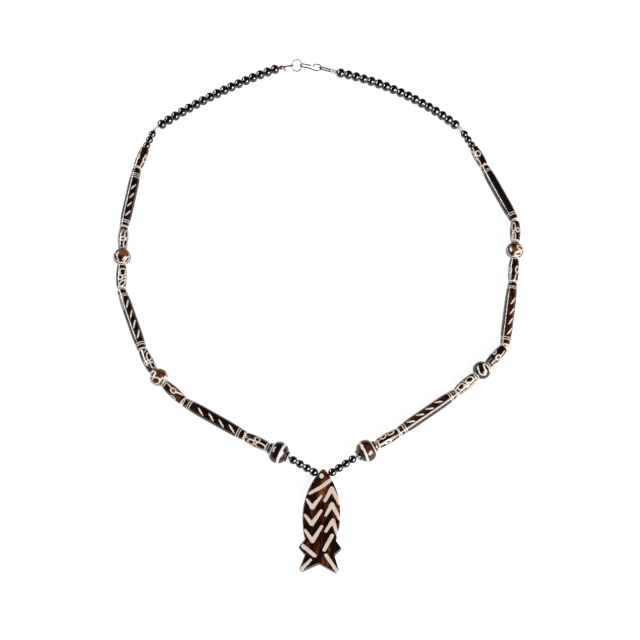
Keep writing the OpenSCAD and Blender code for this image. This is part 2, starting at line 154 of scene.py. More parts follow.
class NecklaceStage(PropertyGroup):
    elevation: FloatProperty(
        name="Camera elevation", description="Angle of the camera above the floor",
        default=math.radians(68), subtype="ANGLE", unit="ROTATION")
    distance: length_property("Camera distance", "From the aim point to the camera", 540.9, 300, 900)
    aim_x: length_property("Aim X", "The point on the floor at the picture's middle", 0.64, -50, 50)
    aim_y: length_property("Aim Y", "The point on the floor at the picture's middle", -11.39, -50, 50)
    lens: FloatProperty(
        name="Lens", description="Focal length on a 36 mm sensor", default=67.16, min=20, max=200,
        unit="CAMERA")
    left_light: FloatProperty(
        name="Left light", description="Power of the left softbox", default=15.0, min=0, unit="POWER")
    right_light: FloatProperty(
        name="Right light", description="Power of the right softbox", default=30.0, min=0, unit="POWER")
    floor_glow: FloatProperty(
        name="Floor glow", description="Glow of the lit floor", default=0.79, min=0, max=3)


def beads():
    return bpy.context.scene.necklace_beads


def fish():
    return bpy.context.scene.necklace_fish


def clasp():
    return bpy.context.scene.necklace_clasp


def colours():
    return bpy.context.scene.necklace_colours


def stage():
    return bpy.context.scene.necklace_stage


# Small sums on vectors and angles, in degrees
def unit(vector):
    return vector / np.linalg.norm(vector)


def cosd(angle):
    return math.cos(math.radians(angle))


def sind(angle):
    return math.sin(math.radians(angle))


def turned(point, angle, first, second):
    """The point turned about one axis, from axis number first towards axis number second."""
    point = np.asarray(point, float)
    result = point.copy()
    result[..., first] = point[..., first] * cosd(angle) - point[..., second] * sind(angle)
    result[..., second] = point[..., first] * sind(angle) + point[..., second] * cosd(angle)
    return result


def turned_x(point, angle):
    return turned(point, angle, 1, 2)


def turned_y(point, angle):
    return turned(point, angle, 2, 0)


def turned_z(point, angle):
    return turned(point, angle, 0, 1)


def aim(heading, pitch):
    return np.array([cosd(heading) * cosd(pitch), sind(heading) * cosd(pitch), sind(pitch)])


# Kinds of bead, and the order in which they are strung
BEAD_GAP = 0.1
FISH_GAP = 0.35
LAP = 0.1
# Bare glass round the hole of a small bead, and how much slimmer the end bead's faces are
SMALL_RIM = 0.45
END_TAPER = 0.4
# From the fish's thread hole to the middle of the whole, which is the shared origin
MIDDLE = np.array([-2.01, 83.73, 0.0])
NOSE_SHARP = 0.5
LOWER_ARC = 38.0


class Kind:
    """A kind of bead: its length, widths and body, in millimetres, and how many make one straight run."""

    def __init__(self, length, width, face, body, count=1, straight=0.0):
        self.length = length
        self.radius = width / 2
        self.face = face / 2
        self.body = body
        self.count = count
        self.straight = straight

    def run_length(self):
        return self.count * self.length - (self.count - 1) * LAP

    def radius_at(self, along):
        """Radius of the bead at distances along from its middle."""
        half = self.body / 2
        flat = self.straight / 2
        drop = self.radius - self.face
        arc = ((half - flat) ** 2 + drop**2) / (2 * drop)
        reach = np.clip(np.abs(along) - flat, 0, half - flat)
        curved = self.radius - arc + np.sqrt(arc**2 - reach**2)
        return np.where(np.abs(along) > half, self.face, curved)


def bead_kinds():
    size = {name: getattr(beads(), name) / MM for name in NecklaceBeadSizes.__annotations__}
    small_face = size["bore"] + 2 * SMALL_RIM
    small_ball = math.sqrt(size["small_width"] ** 2 - small_face**2)

    def kind(name, face, body=None, **more):
        length = size[f"{name}_length"]
        return Kind(length, size[f"{name}_width"], face, body or length, **more)

    return {
        "tube": kind("tube", size["tube_end"], straight=size["tube_straight"]),
        "barrel": kind("barrel", size["barrel_end"]),
        "round": kind("round", size["round_collar"], size["round_ball"]),
        "large": kind("large", size["large_collar"], size["large_ball"]),
        "front": kind("small", small_face, small_ball, count=4),
        "upper": kind("small", small_face, small_ball, count=3),
        "clear": kind("clear", small_face),
        "back": kind("back", small_face),
        "end": kind("end", size["end_width"] - END_TAPER),
    }


# From the fish to the black back strand: kind, heading of the thread on the left and on the right
ROWS = [
    ("front", 152, 31), ("large", 153, 31), ("barrel", 151, 33), ("tube", 150, 35),
    ("barrel", 138, 40), ("round", 132, 42), ("barrel", 118, 48), ("tube", 111, 80),
    ("barrel", 91, 84), ("round", 91, 84), ("barrel", 92, 85), ("tube", 82, 114),
    ("barrel", 73, 114), ("upper", 70, 118), ("clear", 50, 129),
]
FRONT_RUN = 0
FIRST_BONE = 1
LAST_BONE = 12
UPPER_RUN = 13
CLEAR_BEAD = 14
BACK_HEADINGS = ((37, 23), (138, 166))


class Layout:
    """Where each bead of both sides lies: the route of the thread and the room at each bend."""

    def __init__(self):
        self.kinds = bead_kinds()
        self.back_count = beads().back_count
        self.strung = [self.side_beads(side) for side in SIDES]
        self.count = len(self.strung[LEFT])
        self.rooms = [self.side_rooms(side) for side in SIDES]
        self.routes = [self.side_route(side) for side in SIDES]

    def side_beads(self, side):
        rows = [(row[0], row[1 + side]) for row in ROWS]
        start, end = BACK_HEADINGS[side]
        last = self.back_count - 1
        return rows + [("back", start + (end - start) * i / last) for i in range(last + 1)]

    def kind(self, side, i):
        return self.kinds[self.strung[side][i][0]]

    def bone_radius(self, j):
        return self.kinds[ROWS[max(FIRST_BONE, min(LAST_BONE, j))][0]].radius

    def height(self, j):
        if j == 0:
            return fish().thickness / MM / 2
        if j <= LAST_BONE + 1:
            return max(self.bone_radius(j - 1), self.bone_radius(j))
        return self.kinds["back"].radius

    def rise(self, i):
        return self.height(i + 1) - self.height(i)

    def bead_aim(self, side, i):
        slope = math.asin(self.rise(i) / self.kind(side, i).run_length())
        return aim(self.strung[side][i][1], math.degrees(slope))

    def side_rooms(self, side):
        rooms = [FISH_GAP]
        for j in range(1, self.count):
            cosine = float(self.bead_aim(side, j - 1) @ self.bead_aim(side, j))
            bend = math.acos(min(1.0, cosine))
            face = max(self.kind(side, k).face for k in (j - 1, j))
            rooms.append(face * math.tan(bend / 2) + BEAD_GAP / 2)
        return rooms + [BEAD_GAP / 2]

    def side_route(self, side):
        size = fish()
        edge = side_arc(size.half_width / MM, upper_arc(), size.hole_at / MM)
        start = np.array([OUTWARDS[side] * edge, 0.0, size.thickness / MM / 2])
        route = [turned_z(start, math.degrees(size.heading) - 90) - MIDDLE]
        for i, (_, heading) in enumerate(self.strung[side]):
            room = self.rooms[side][i] + self.rooms[side][i + 1]
            reach = self.kind(side, i).run_length() + room
            run = math.sqrt(reach**2 - self.rise(i) ** 2)
            route.append(route[-1] + (run * cosd(heading), run * sind(heading), self.rise(i)))
        return route

    def place(self, side, i):
        """Middle and axis of the run of beads number i."""
        start, end = self.routes[side][i:i + 2]
        axis = unit(end - start)
        return start + axis * (self.rooms[side][i] + self.kind(side, i).run_length() / 2), axis


def side_arc(half_width, radius, y):
    """Half the fish's width at a distance y from the nose, on a side arc of that radius."""
    return half_width - radius + math.sqrt(radius**2 - (fish().broad_at / MM - y) ** 2)


def upper_arc():
    half = fish().half_width / MM
    return ((fish().broad_at / MM + NOSE_SHARP) ** 2 + half**2) / (2 * half)


# Meshes
def add_mesh(name, points, faces, attributes=()):
    """A smooth mesh object from points in millimetres and faces of any size, with point attributes."""
    mesh = bpy.data.meshes.new(name)
    mesh.from_pydata((np.asarray(points) * MM).tolist(), [], faces)
    for attribute, values in attributes:
        kind, field = ("FLOAT_VECTOR", "vector") if values.ndim == 2 else ("FLOAT", "value")
        layer = mesh.attributes.new(attribute, kind, "POINT")
        layer.data.foreach_set(field, values.astype(np.float32).ravel())
    mesh.polygons.foreach_set("use_smooth", [True] * len(mesh.polygons))
    mesh.validate()
    mesh.update()
    piece = bpy.data.objects.new(name, mesh)
    bpy.context.scene.collection.objects.link(piece)
    return piece


# How far a finished piece may stand off its plain solid's box
BOX_SLACK = 0.35


def hand_over(piece, node, slot):
    """Gives a piece its finish, rides it on the necklace and lets it stand for its plain solid."""
    piece.data.materials.append(finish(slot))
    low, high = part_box(node)
    points = np.empty(len(piece.data.vertices) * 3, np.float32)
    piece.data.vertices.foreach_get("co", points)
    points = points.reshape(-1, 3)
    apart = max(np.abs(points.min(0) - low).max(), np.abs(points.max(0) - high).max())
    if apart > BOX_SLACK * MM:
        raise RuntimeError(f"{piece.name} lies {apart / MM:.2f} mm off the box of {node}")
    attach(piece, "root")
    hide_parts(node)


def make_piece(node, slot, points, faces, attributes):
    hand_over(add_mesh(f"finished_{node}", points, faces, attributes), node, slot)


# Rounding of a bead's outer edges, and the bevel of its hole
EDGE_ROUND = 0.2
HOLE_BEVEL = 0.12
EDGE_POINTS = 5
FINE_POINTS = 1500


def bead_section(kind, hole, cell):
    """Half section of a bead as closed rows of (radius, along), and how many of them are outside."""
    half = kind.length / 2
    fine = np.linspace(-half, half, FINE_POINTS)
    fine = fine[np.abs(fine) <= half - EDGE_ROUND]
    radius = kind.radius_at(fine)
    length = np.concatenate([[0], np.cumsum(np.hypot(np.diff(fine), np.diff(radius)))])
    steps = np.linspace(0, length[-1], max(6, int(length[-1] / cell)))
    along = np.interp(steps, length, fine)
    outer = np.stack([np.interp(along, fine, radius), along], 1)
    bend = np.radians(np.linspace(15, 90, EDGE_POINTS))
    centre = radius[-1] - EDGE_ROUND
    arc = EDGE_ROUND * np.stack([np.cos(bend), np.sin(bend)], 1)
    rounded = arc + (centre, half - EDGE_ROUND)
    lip = hole + HOLE_BEVEL
    top = np.concatenate([rounded, [[(centre + lip) / 2, half], [lip, half]]])
    bottom = top[::-1] * (1, -1)
    inside = np.array([[hole, y] for y in (half - HOLE_BEVEL, half / 3, -half / 3, HOLE_BEVEL - half)])
    return np.concatenate([bottom, outer, top, inside]), len(outer) + 2 * len(top)


def ring_faces(rows, sides, flip=False):
    """Faces between rows of that many points, where both the rows and the points in them run round."""
    i = np.repeat(np.arange(rows), sides)
    j = np.tile(np.arange(sides), rows)
    next_i = (i + 1) % rows
    next_j = (j + 1) % sides
    corners = [i * sides + j, i * sides + next_j, next_i * sides + next_j, next_i * sides + j]
    quads = np.stack(corners, 1)
    return quads[:, ::-1] if flip else quads


def bead_axes(axis, side):
    """Directions square to a bead's axis: up, and to the outside of the loop."""
    out = unit(np.cross(axis, Z)) * OUTWARDS[side]
    return np.cross(out, axis) * OUTWARDS[side], out


# Waves that make a hand-shaped surface uneven: how many go round the bead, and their weight
WEAR_WAVES = ((1, 0.7), (2, 1.0), (3, 0.7), (5, 0.5), (8, 0.35), (13, 0.2))


def hand_worn(theta, along, rng, depth):
    """How far a hand-shaped surface lies inside its true form, from 0 to depth."""
    total = np.zeros_like(theta)
    most = 0.0
    for waves, weight in WEAR_WAVES:
        phase, lean = rng.uniform(0, 2 * math.pi), rng.uniform(-0.35, 0.35)
        swell, start = rng.uniform(0.25, 0.8), rng.uniform(0, 2 * math.pi)
        wave = weight * np.cos(waves * theta + phase + lean * along)
        total += wave * (0.75 + 0.25 * np.sin(swell * along + start))
        most += weight
    return depth * (0.5 - 0.5 * total / most)


def turned_bead(kind, hole, cell, side, centre, axis, rng, worn):
    """Points, faces, angles, distances along and own coordinates of one bead, its seam underneath."""
    section, outside = bead_section(kind, hole, cell)
    sides = max(20, int(2 * math.pi * kind.radius / cell))
    theta = np.tile(np.linspace(-math.pi, math.pi, sides, endpoint=False), len(section))
    radius = np.repeat(section[:, 0], sides)
    along = np.repeat(section[:, 1], sides)
    dent = hand_worn(theta, along, rng, worn)
    shown = np.repeat(np.arange(len(section)) < outside, sides)
    radius = radius - np.where(shown, dent * np.clip((radius - hole) / kind.radius, 0, 1), 0)
    up, out = bead_axes(axis, side)
    ring = np.outer(np.cos(theta), up) + np.outer(np.sin(theta), out)
    points = centre + radius[:, None] * ring + np.outer(along, axis)
    faces = ring_faces(len(section), sides, side == LEFT)
    local = np.stack([radius * np.cos(theta), radius * np.sin(theta), along], 1)
    return points, faces, theta, along, local


# Drawn patterns, as distances to the nearest line that the dye left bare
FAR = 9.0
RING_LINE = 0.31
SCALE_LINE = 0.1


def ellipse_distance(x, y, a, b):
    """Distance to the outline of an ellipse, negative inside it."""
    near = np.hypot(x / a, y / b)
    slope = np.hypot(x / a**2, y / b**2)
    return near * (near - 1) / np.maximum(slope, 1e-6)


def segment_share(x, y, start, end):
    """How far along a straight line, from 0 to 1, its nearest point lies."""
    dx, dy = end[0] - start[0], end[1] - start[1]
    return np.clip(((x - start[0]) * dx + (y - start[1]) * dy) / (dx**2 + dy**2), 0, 1)


def segment_distance(x, y, start, end):
    share = segment_share(x, y, start, end)
    near_x, near_y = start[0] + share * (end[0] - start[0]), start[1] + share * (end[1] - start[1])
    return np.hypot(x - near_x, y - near_y)


def path_distance(x, y, path):
    """Distance to the nearest stretch of a path."""
    best = np.full(np.shape(x), np.inf)
    for start, end in zip(path[:-1], path[1:]):
        best = np.minimum(best, segment_distance(x, y, start, end))
    return best


def mark_distance(mark, x, y):
    """Distance to one mark's edge, negative on bare bone, and its share of warm dye.

    x and y start at the mark's middle. a and b are half its length and half its breadth.
    """
    shape, _, _, a, b, tilt, _ = mark
    turned_along = x * cosd(tilt) + y * sind(tilt)
    turned_across = y * cosd(tilt) - x * sind(tilt)
    if shape == "dash":
        return segment_distance(turned_along, turned_across, (-a + b, 0), (a - b, 0)) - b, 0
    inside = ellipse_distance(turned_along, turned_across, a, b)
    if shape == "ring":
        return np.abs(inside) - RING_LINE, np.clip(-inside * 3, 0, 1)
    if shape == "scale":
        return np.abs(inside) - SCALE_LINE, 0
    if shape == "dot":
        return inside, 0
    if shape == "glow":
        return np.full_like(x, FAR), np.clip(0.5 - inside / min(a, b) / 1.2, 0, 1)
    raise RuntimeError(f"there is no mark of the shape {shape}")


def drawn(drawing, theta, along, seen_along, radius, width):
    """Line distance and warmth at each point for a drawing laid out on a bead of that greatest radius.

    A mark is (shape, along, round, a, b, tilt, warmth). A band runs all round the bead: a is its lean, b is
    half its width, and tilt is where it leans to. Every other mark lies where the bead looks that far along.
    """
    base_warm, marks = drawing
    line = np.full_like(theta, FAR)
    warm = np.full_like(theta, base_warm)
    for mark in marks:
        shape, x0, y0, a, b, tilt, amount = mark
        if shape == "band":
            distance, glow = np.abs(along - x0 - a * np.cos(theta - math.radians(tilt))) - b, 0
        else:
            apart = np.mod(theta - y0 / width + math.pi, 2 * math.pi) - math.pi
            distance, glow = mark_distance(mark, seen_along - x0, apart * radius)
        line = np.minimum(line, distance)
        warm = np.maximum(warm, glow * amount)
    return line, warm


def band(along, half_width, lean=0.0, lean_at=0.0):
    return ("band", along, 0, lean, half_width, lean_at, 0)


def rims(at, half_width, plain_end=None):
    """Bare rims at both ends of a bead, or at all but the plain end."""
    return [band(end * at, half_width) for end in (-1, 1) if end != plain_end]


def dash(x, y, half_length, half_width=0.3, tilt=0.0):
    return ("dash", x, y, half_length, half_width, tilt, 0)


def ring(x, y, a, b, tilt=0.0, warm=0.0):
    return ("ring", x, y, a, b, tilt, warm)


def dot(x, y, a, b, tilt=0.0):
    return ("dot", x, y, a, b, tilt, 0)


def scale(x, y, size):
    return ("scale", x, y, size, 0.8 * size, 0, 0)


def glow(x, y, a, b, warm):
    return ("glow", x, y, a, b, 0, warm)


# Marks of each barrel bead: x runs to the right in its drawing, which is to the fish on the left side and
# to the clasp on the right side, and y runs round the bead to the outside of the loop. Each drawing starts
# with the bead's warmth.
BARREL_MARKS = {
    "left_barrel_bead_1": (0.15, [
        ring(-0.3, -1.1, 1.15, 1.05), ring(-2.3, 1.3, 1.45, 1.2), ring(2.2, 1.2, 2.3, 1.3, 10, 0.1)]),
    "left_barrel_bead_2": (0.2, [
        dash(-3.8, -1.0, 1.3, 0.3, 8), ring(-1.0, -0.4, 1.2, 1.05, 0, 0.8), dash(1.9, -1.5, 1.9, 0.42, -22),
        ring(0.9, 2.6, 1.4, 0.8, 0, 0.5), dash(3.0, -2.3, 0.8, 0.4, -30), glow(1.8, 0.7, 2.6, 1.6, 0.62)]),
    "left_barrel_bead_3": (0.0, [
        ring(-1.3, -1.5, 1.75, 1.15, 20), ring(2.9, -1.5, 1.5, 1.05, -14), ring(0.7, 0.1, 0.75, 0.65),
        dash(-3.0, 0.8, 1.9, 0.25, 14), ring(0.7, 1.6, 0.95, 0.55), dash(-4.2, -0.9, 1.2, 0.2, 62)]),
    "left_barrel_bead_4": (0.03, [
        ring(-2.2, -0.6, 1.55, 1.4), ring(0.15, 0.55, 1.05, 0.95), dash(0.2, -1.5, 1.0, 0.3, 85),
        ring(2.9, -0.6, 1.75, 0.95, 45), dash(0.2, -2.4, 1.8, 0.3, 4)]),
    "left_barrel_bead_5": (0.02, [
        ring(-1.9, -1.7, 1.75, 1.0), ring(2.2, -1.5, 1.85, 1.0), ring(0.1, 0.2, 0.8, 1.1),
        # The long dash along the outer side is partly a drawn line and partly a painted reflection of the
        # left softbox
        dash(-3.2, 0.4, 1.3, 0.25, 22), dash(-0.2, 2.3, 4.6, 0.25, 0)]),
    "left_barrel_bead_6": (0.18, [
        ring(-0.3, -2.0, 1.25, 0.9), dash(3.0, -1.3, 2.0, 0.27, 2), dash(-2.2, -1.5, 0.7, 0.27, 40),
        ring(-0.3, 1.9, 0.85, 0.75), dash(2.6, 1.8, 2.0, 0.25), dash(-2.9, 1.9, 1.6, 0.25)]),
    "right_barrel_bead_1": (0.15, [
        ring(-1.1, -1.9, 1.3, 0.85), ring(2.5, -1.8, 1.5, 0.9), dash(-4.0, -1.3, 1.1, 0.25, -8),
        # The two long dashes along the outer side are partly a drawn line and partly a painted reflection of
        # the right softbox
        dash(-3.2, 1.3, 1.9, 0.2), dash(3.2, 1.2, 2.0, 0.2, -4), ring(-0.2, 1.5, 1.3, 0.8)]),
    "right_barrel_bead_2": (0.15, [
        ring(-2.1, -0.6, 1.55, 1.3), ring(2.7, -0.5, 1.75, 1.2, 20), ring(0.4, 0.7, 0.7, 0.6),
        # The long dash along the outer side is partly a drawn line and partly a painted reflection of the
        # right softbox
        dash(0.5, -1.1, 1.3, 0.26, 60), dash(0.0, 2.3, 4.8, 0.25), dash(-3.8, -1.6, 0.9, 0.25, -20)]),
    "right_barrel_bead_3": (0.12, [
        ring(0.2, 1.25, 1.15, 1.05, 0, 0.3), dash(3.0, 1.5, 1.5, 0.25, -10), dash(-3.2, 2.7, 1.3, 0.25),
        ring(0.7, -1.8, 0.85, 0.75, 0, 0.5), dash(-3.4, -0.9, 1.7, 0.12), dash(-3.3, 0.6, 1.7, 0.1)]),
    "right_barrel_bead_4": (0.16, [
        dash(-2.9, -1.9, 1.6, 0.25, 5), ring(0.0, -1.8, 1.2, 0.75, 8), dash(3.1, -1.4, 1.8, 0.25, 5),
        dash(-3.1, 1.2, 1.8, 0.25, 8), ring(0.6, 1.9, 1.4, 0.9, 0, 0.3)]),
    "right_barrel_bead_5": (0.2, [
        ring(-1.9, -0.8, 2.05, 0.85, 3, 0.45), ring(2.6, -0.8, 1.9, 0.85), ring(1.2, 1.3, 0.9, 0.9),
        dot(-4.4, 1.4, 0.35, 0.35), dash(-2.9, -2.1, 1.5, 0.28, 10)]),
    "right_barrel_bead_6": (0.1, [
        ring(-2.0, -1.9, 2.2, 0.95, 8), ring(2.6, -2.2, 1.7, 0.8), ring(1.8, 0.6, 1.25, 1.15),
        ring(-4.3, 1.0, 0.4, 0.55), glow(-0.6, 0.2, 1.6, 0.8, 0.25)]),
}
# Marks on the far side of every barrel
BARREL_BACK = [
    ring(-2.1, 6.9, 1.9, 0.9, -4), ring(2.2, 7.1, 1.8, 0.9, 5), ring(0.0, 5.5, 0.8, 0.75, 0, 0.4),
    dash(-3.1, -4.7, 1.8, 0.25, 3), ring(0.0, -4.7, 1.0, 0.8, 0, 0.3), dash(3.1, -4.6, 1.8, 0.25, -3),
    dash(-3.2, 4.4, 1.6, 0.22), dash(3.2, 4.5, 1.6, 0.22),
]

# Rows of slanted cuts of each tube: warmth, first cut, pitch, round, half length, half width, tilt, how far
# round the second row lies, and the bare rings near its two ends
TWO_RINGS = (-13.05, -12.05, 12.05, 13.05)
TUBE_CUTS = {
    "left_tube_bead_1": (0.12, -6.8, 5.1, 0.2, 2.2, 0.38, 31, 7.5, TWO_RINGS),
    "left_tube_bead_2": (-0.15, -7.4, 4.8, -0.6, 2.05, 0.37, 30, 7.5, (-12.6, -11.6, 12.6, 13.6)),
    "left_tube_bead_3": (-0.15, -5.4, 4.2, -0.3, 1.65, 0.35, 34, 7.5, (-12.2, -11.2, -10.2, 12.6, 13.6)),
    "right_tube_bead_1": (0.26, -8.1, 4.95, -1.0, 2.05, 0.4, 28, 7.5, TWO_RINGS),
    "right_tube_bead_2": (0.28, -7.6, 4.6, 1.5, 2.0, 0.38, 32, 7.5, TWO_RINGS),
    "right_tube_bead_3": (-0.15, -7.4, 4.8, 5.3, 2.0, 0.38, 31, 4.5, TWO_RINGS),
}
# Worn places and a painted highlight on two tubes: a scaled patch, and a broken pale edge along the grain
# that is partly a worn pale line and partly a painted highlight
TUBE_EXTRAS = {
    "left_tube_bead_2": [
        scale(-11.2, 2.3, 0.7), scale(-10.2, 1.3, 0.6), scale(-9.3, 2.4, 0.75), scale(-8.3, 1.6, 0.5),
        scale(-7.4, 2.5, 0.65), scale(-11.0, 0.7, 0.45), scale(-6.3, 1.9, 0.4), scale(-9.9, 3.3, 0.5),
        scale(-8.0, 3.4, 0.5), scale(-5.4, 2.6, 0.35),
    ],
    # Thin bare dashes on the inner side, where the left softbox's highlight falls: partly a pale line,
    # partly a painted highlight
    "right_tube_bead_3": [
        dash(-7.5, -0.8, 2.6, 0.09, 1), dash(-1.2, -1.0, 1.6, 0.1, -5), dash(3.2, -1.3, 1.4, 0.1, 8),
        dash(8.0, -0.9, 2.0, 0.09, -3), dash(-3.6, -1.8, 1.1, 0.08, 10), dash(5.6, -1.9, 1.2, 0.08, -9),
    ],
}
# Short strokes drawn on the collars of the tubes: along, round, tilt
COLLAR_STROKES = [
    (-14.3, -2.1, 70), (-14.1, 1.9, 100), (-14.3, 5.6, 60), (-14.1, -5.4, 110),
    (14.2, -1.4, 75), (14.3, 2.6, 105), (14.2, 6.1, 60), (14.3, -5.0, 115),
]

# Marks of the small round beads, drawn as the barrels are
ROUND_MARKS = {
    "left_round_bead_1": (0.28, [
        # The cream dot on the inner side is partly bare bone and partly a painted highlight
        ring(0.1, 2.5, 1.6, 1.9, 0, 0.6), ring(-2.9, 1.4, 0.9, 1.5, 0, 0.45), dot(1.9, -2.9, 0.7, 0.9),
        glow(-0.7, -1.9, 2.6, 2.4, 0.66), ring(1.6, 6.6, 1.4, 1.3), ring(-1.5, 9.3, 1.5, 1.4),
        ring(1.4, -6.6, 1.5, 1.6), dash(2.9, 0.4, 1.2, 0.25, 80)]),
    "left_round_bead_2": (0.2, [
        # The short slanted dash beside the middle is a painted highlight
        ring(0.1, 3.9, 2.0, 1.2, 0, 0.3), ring(1.3, -3.5, 1.7, 0.9, 0, 0.4), dash(0.9, -1.2, 0.9, 0.25, 45),
        glow(-2.0, -0.6, 1.7, 2.9, 0.95), dash(-1.4, -3.9, 1.0, 0.3, -35), ring(0.0, 8.6, 2.0, 1.5),
        ring(-0.8, -7.6, 1.8, 1.6)]),
    "right_round_bead_1": (0.06, [
        dash(0.6, -6.4, 2.2, 0.3, 30), ring(-0.9, 8.0, 1.8, 1.4), ring(1.8, 6.9, 1.2, 1.5)]),
    "right_round_bead_2": (0.3, [
        ring(-1.3, 2.7, 0.9, 1.7, 0, 0.3), ring(1.4, 2.9, 1.9, 0.75, 118, 0.55), dash(-0.8, -4.2, 1.9),
        # The cream dot on the amber is partly bare bone and partly a painted highlight
        glow(0.4, 0.1, 1.3, 2.0, 0.95), dot(0.3, -1.9, 0.9, 0.6), ring(0.6, 7.6, 1.8, 1.4),
        ring(-1.4, -7.4, 1.4, 1.2)]),
}
# The bare line that winds over one small round bead, and half its width
SQUIGGLE_BEAD = "right_round_bead_1"
SQUIGGLE = [
    (-0.4, -2.4), (-1.2, -0.7), (-1.6, 0.7), (-1.15, 2.2), (-0.1, 2.8), (0.95, 1.8),
    (1.55, 0.25), (2.2, -1.3), (2.8, -1.7), (3.2, -0.25), (3.2, 1.5), (2.3, 3.6),
]
SQUIGGLE_LINE = 0.38

# Bands of the two large round beads, after their warmth
LARGE_MARKS = {
    "left_large_round_bead": (0.0, [
        band(-2.75, 0.3), band(1.45, 0.55, 0.12, 60), band(-4.75, 0.28), band(4.8, 0.2),
        glow(1.6, 5.2, 1.4, 2.0, 0.3)]),
    "right_large_round_bead": (0.15, [
        band(-1.6, 0.5, 0.35, -90), band(2.9, 0.34), band(-4.8, 0.2), band(4.7, 0.22),
        glow(1.4, 1.0, 1.5, 3.4, 0.55)]),
}

# The bare rims of each kind: how far from the middle, and half their width
TUBE_RIMS = (15.45, 0.28)
BARREL_RIMS = (5.35, 0.26)
ROUND_RIMS = (3.8, 0.22)
# The one end of some barrels that has no bare rim
PLAIN_ENDS = {
    "left_barrel_bead_6": -1, "right_barrel_bead_6": 1, "left_barrel_bead_3": 1,
    "left_barrel_bead_5": 1, "right_barrel_bead_3": -1,
}


def tube_marks(first, pitch, y, half_length, half_width, tilt, apart, rings):
    """Rims, rings and strokes at both ends, and two rows of four slanted cuts."""
    marks = rims(*TUBE_RIMS) + [band(x, 0.2, 0.06, 40 * x) for x in rings]
    for k in range(4):
        x = first + k * pitch
        marks.append(dot(x, y + 0.1 * (-1) ** k, half_length, half_width, tilt))
        marks.append(dot(x + 0.7, y + apart, half_length, half_width, tilt))
    return marks + [dash(x, around, 0.75, 0.13, lean) for x, around, lean in COLLAR_STROKES]


# Every bone bead's whole drawing: its warmth, and its marks
TUBES = {
    name: (warm, tube_marks(*cuts) + TUBE_EXTRAS.get(name, []))
    for name, (warm, *cuts) in TUBE_CUTS.items()
}
BARRELS = {
    name: (warm, marks + BARREL_BACK + rims(*BARREL_RIMS, PLAIN_ENDS.get(name)))
    for name, (warm, marks) in BARREL_MARKS.items()
}
ROUNDS = {name: (warm, marks + rims(*ROUND_RIMS)) for name, (warm, marks) in ROUND_MARKS.items()}
ROUNDS.update(LARGE_MARKS)


# Materials. These colours vary the ones that the panel sets.
COLD_DYE = (0.0038, 0.0025, 0.0021)
BLACK_FILM = (0.004, 0.0036, 0.0036)
GLASS_STREAK = (0.55, 0.57, 0.53)
RED_DEPTH = (0.07, 0.012, 0.012)
THREAD_BROWN = (0.045, 0.024, 0.013)
BRIGHT_WIRE = (0.17, 0.165, 0.15)


class NodeTree:
    """Makes the nodes of a material or a world and joins them."""

    def __init__(self, owner, shader="Principled BSDF"):
        owner.use_nodes = True
        self.owner = owner
        self.nodes = owner.node_tree.nodes
        self.links = owner.node_tree.links
        self.shader = self.nodes[shader]

    def join(self, socket, value):
        """Links the socket to another node's output, or sets its value."""
        if isinstance(value, bpy.types.NodeSocket):
            self.links.new(value, socket)
        elif socket.type == "RGBA":
            socket.default_value = (*value, 1.0)
        else:
            socket.default_value = value

    def add(self, kind, inputs=(), **settings):
        node = self.nodes.new(kind)
        for key, value in settings.items():
            setattr(node, key, value)
        for key, value in dict(inputs).items():
            self.join(node.inputs[key], value)
        return node

    def set(self, **values):
        """Sets the shader's sockets, or links them."""
        for name, value in values.items():
            self.join(self.shader.inputs[name.replace("_", " ")], value)

    def attribute(self, name, output="Fac"):
        return self.add("ShaderNodeAttribute", attribute_name=name).outputs[output]

    def noise(self, place, scale, detail=2.0, roughness=0.5, stretch=(1, 1, 1)):
        """Noise of about that many lumps a millimetre, stretched along an axis."""
        scaled = self.add("ShaderNodeMapping", {"Vector": place, "Scale": stretch})
        inputs = {"Vector": scaled.outputs[0], "Scale": scale, "Detail": detail, "Roughness": roughness}
        return self.add("ShaderNodeTexNoise", inputs).outputs["Fac"]

    def plus(self, first, second):
        return self.add("ShaderNodeMath", {0: first, 1: second}, operation="ADD").outputs[0]

    def times(self, first, second):
        return self.add("ShaderNodeMath", {0: first, 1: second}, operation="MULTIPLY").outputs[0]

    def ramp(self, value, low, high, out_low=0.0, out_high=1.0, kind="SMOOTHSTEP"):
        inputs = {"Value": value, 1: low, 2: high, 3: out_low, 4: out_high}
        return self.add("ShaderNodeMapRange", inputs, interpolation_type=kind).outputs[0]

    def slope(self, value, low, high, out_low, out_high):
        """A ramp with no easing."""
        return self.ramp(value, low, high, out_low, out_high, "LINEAR")

    def mix(self, share, first, second):
        return self.add("ShaderNodeMix", {0: share, 6: first, 7: second}, data_type="RGBA").outputs[2]

    def bump(self, height, strength, distance):
        inputs = {"Height": height, "Strength": strength, "Distance": distance}
        self.set(Normal=self.add("ShaderNodeBump", inputs).outputs[0])


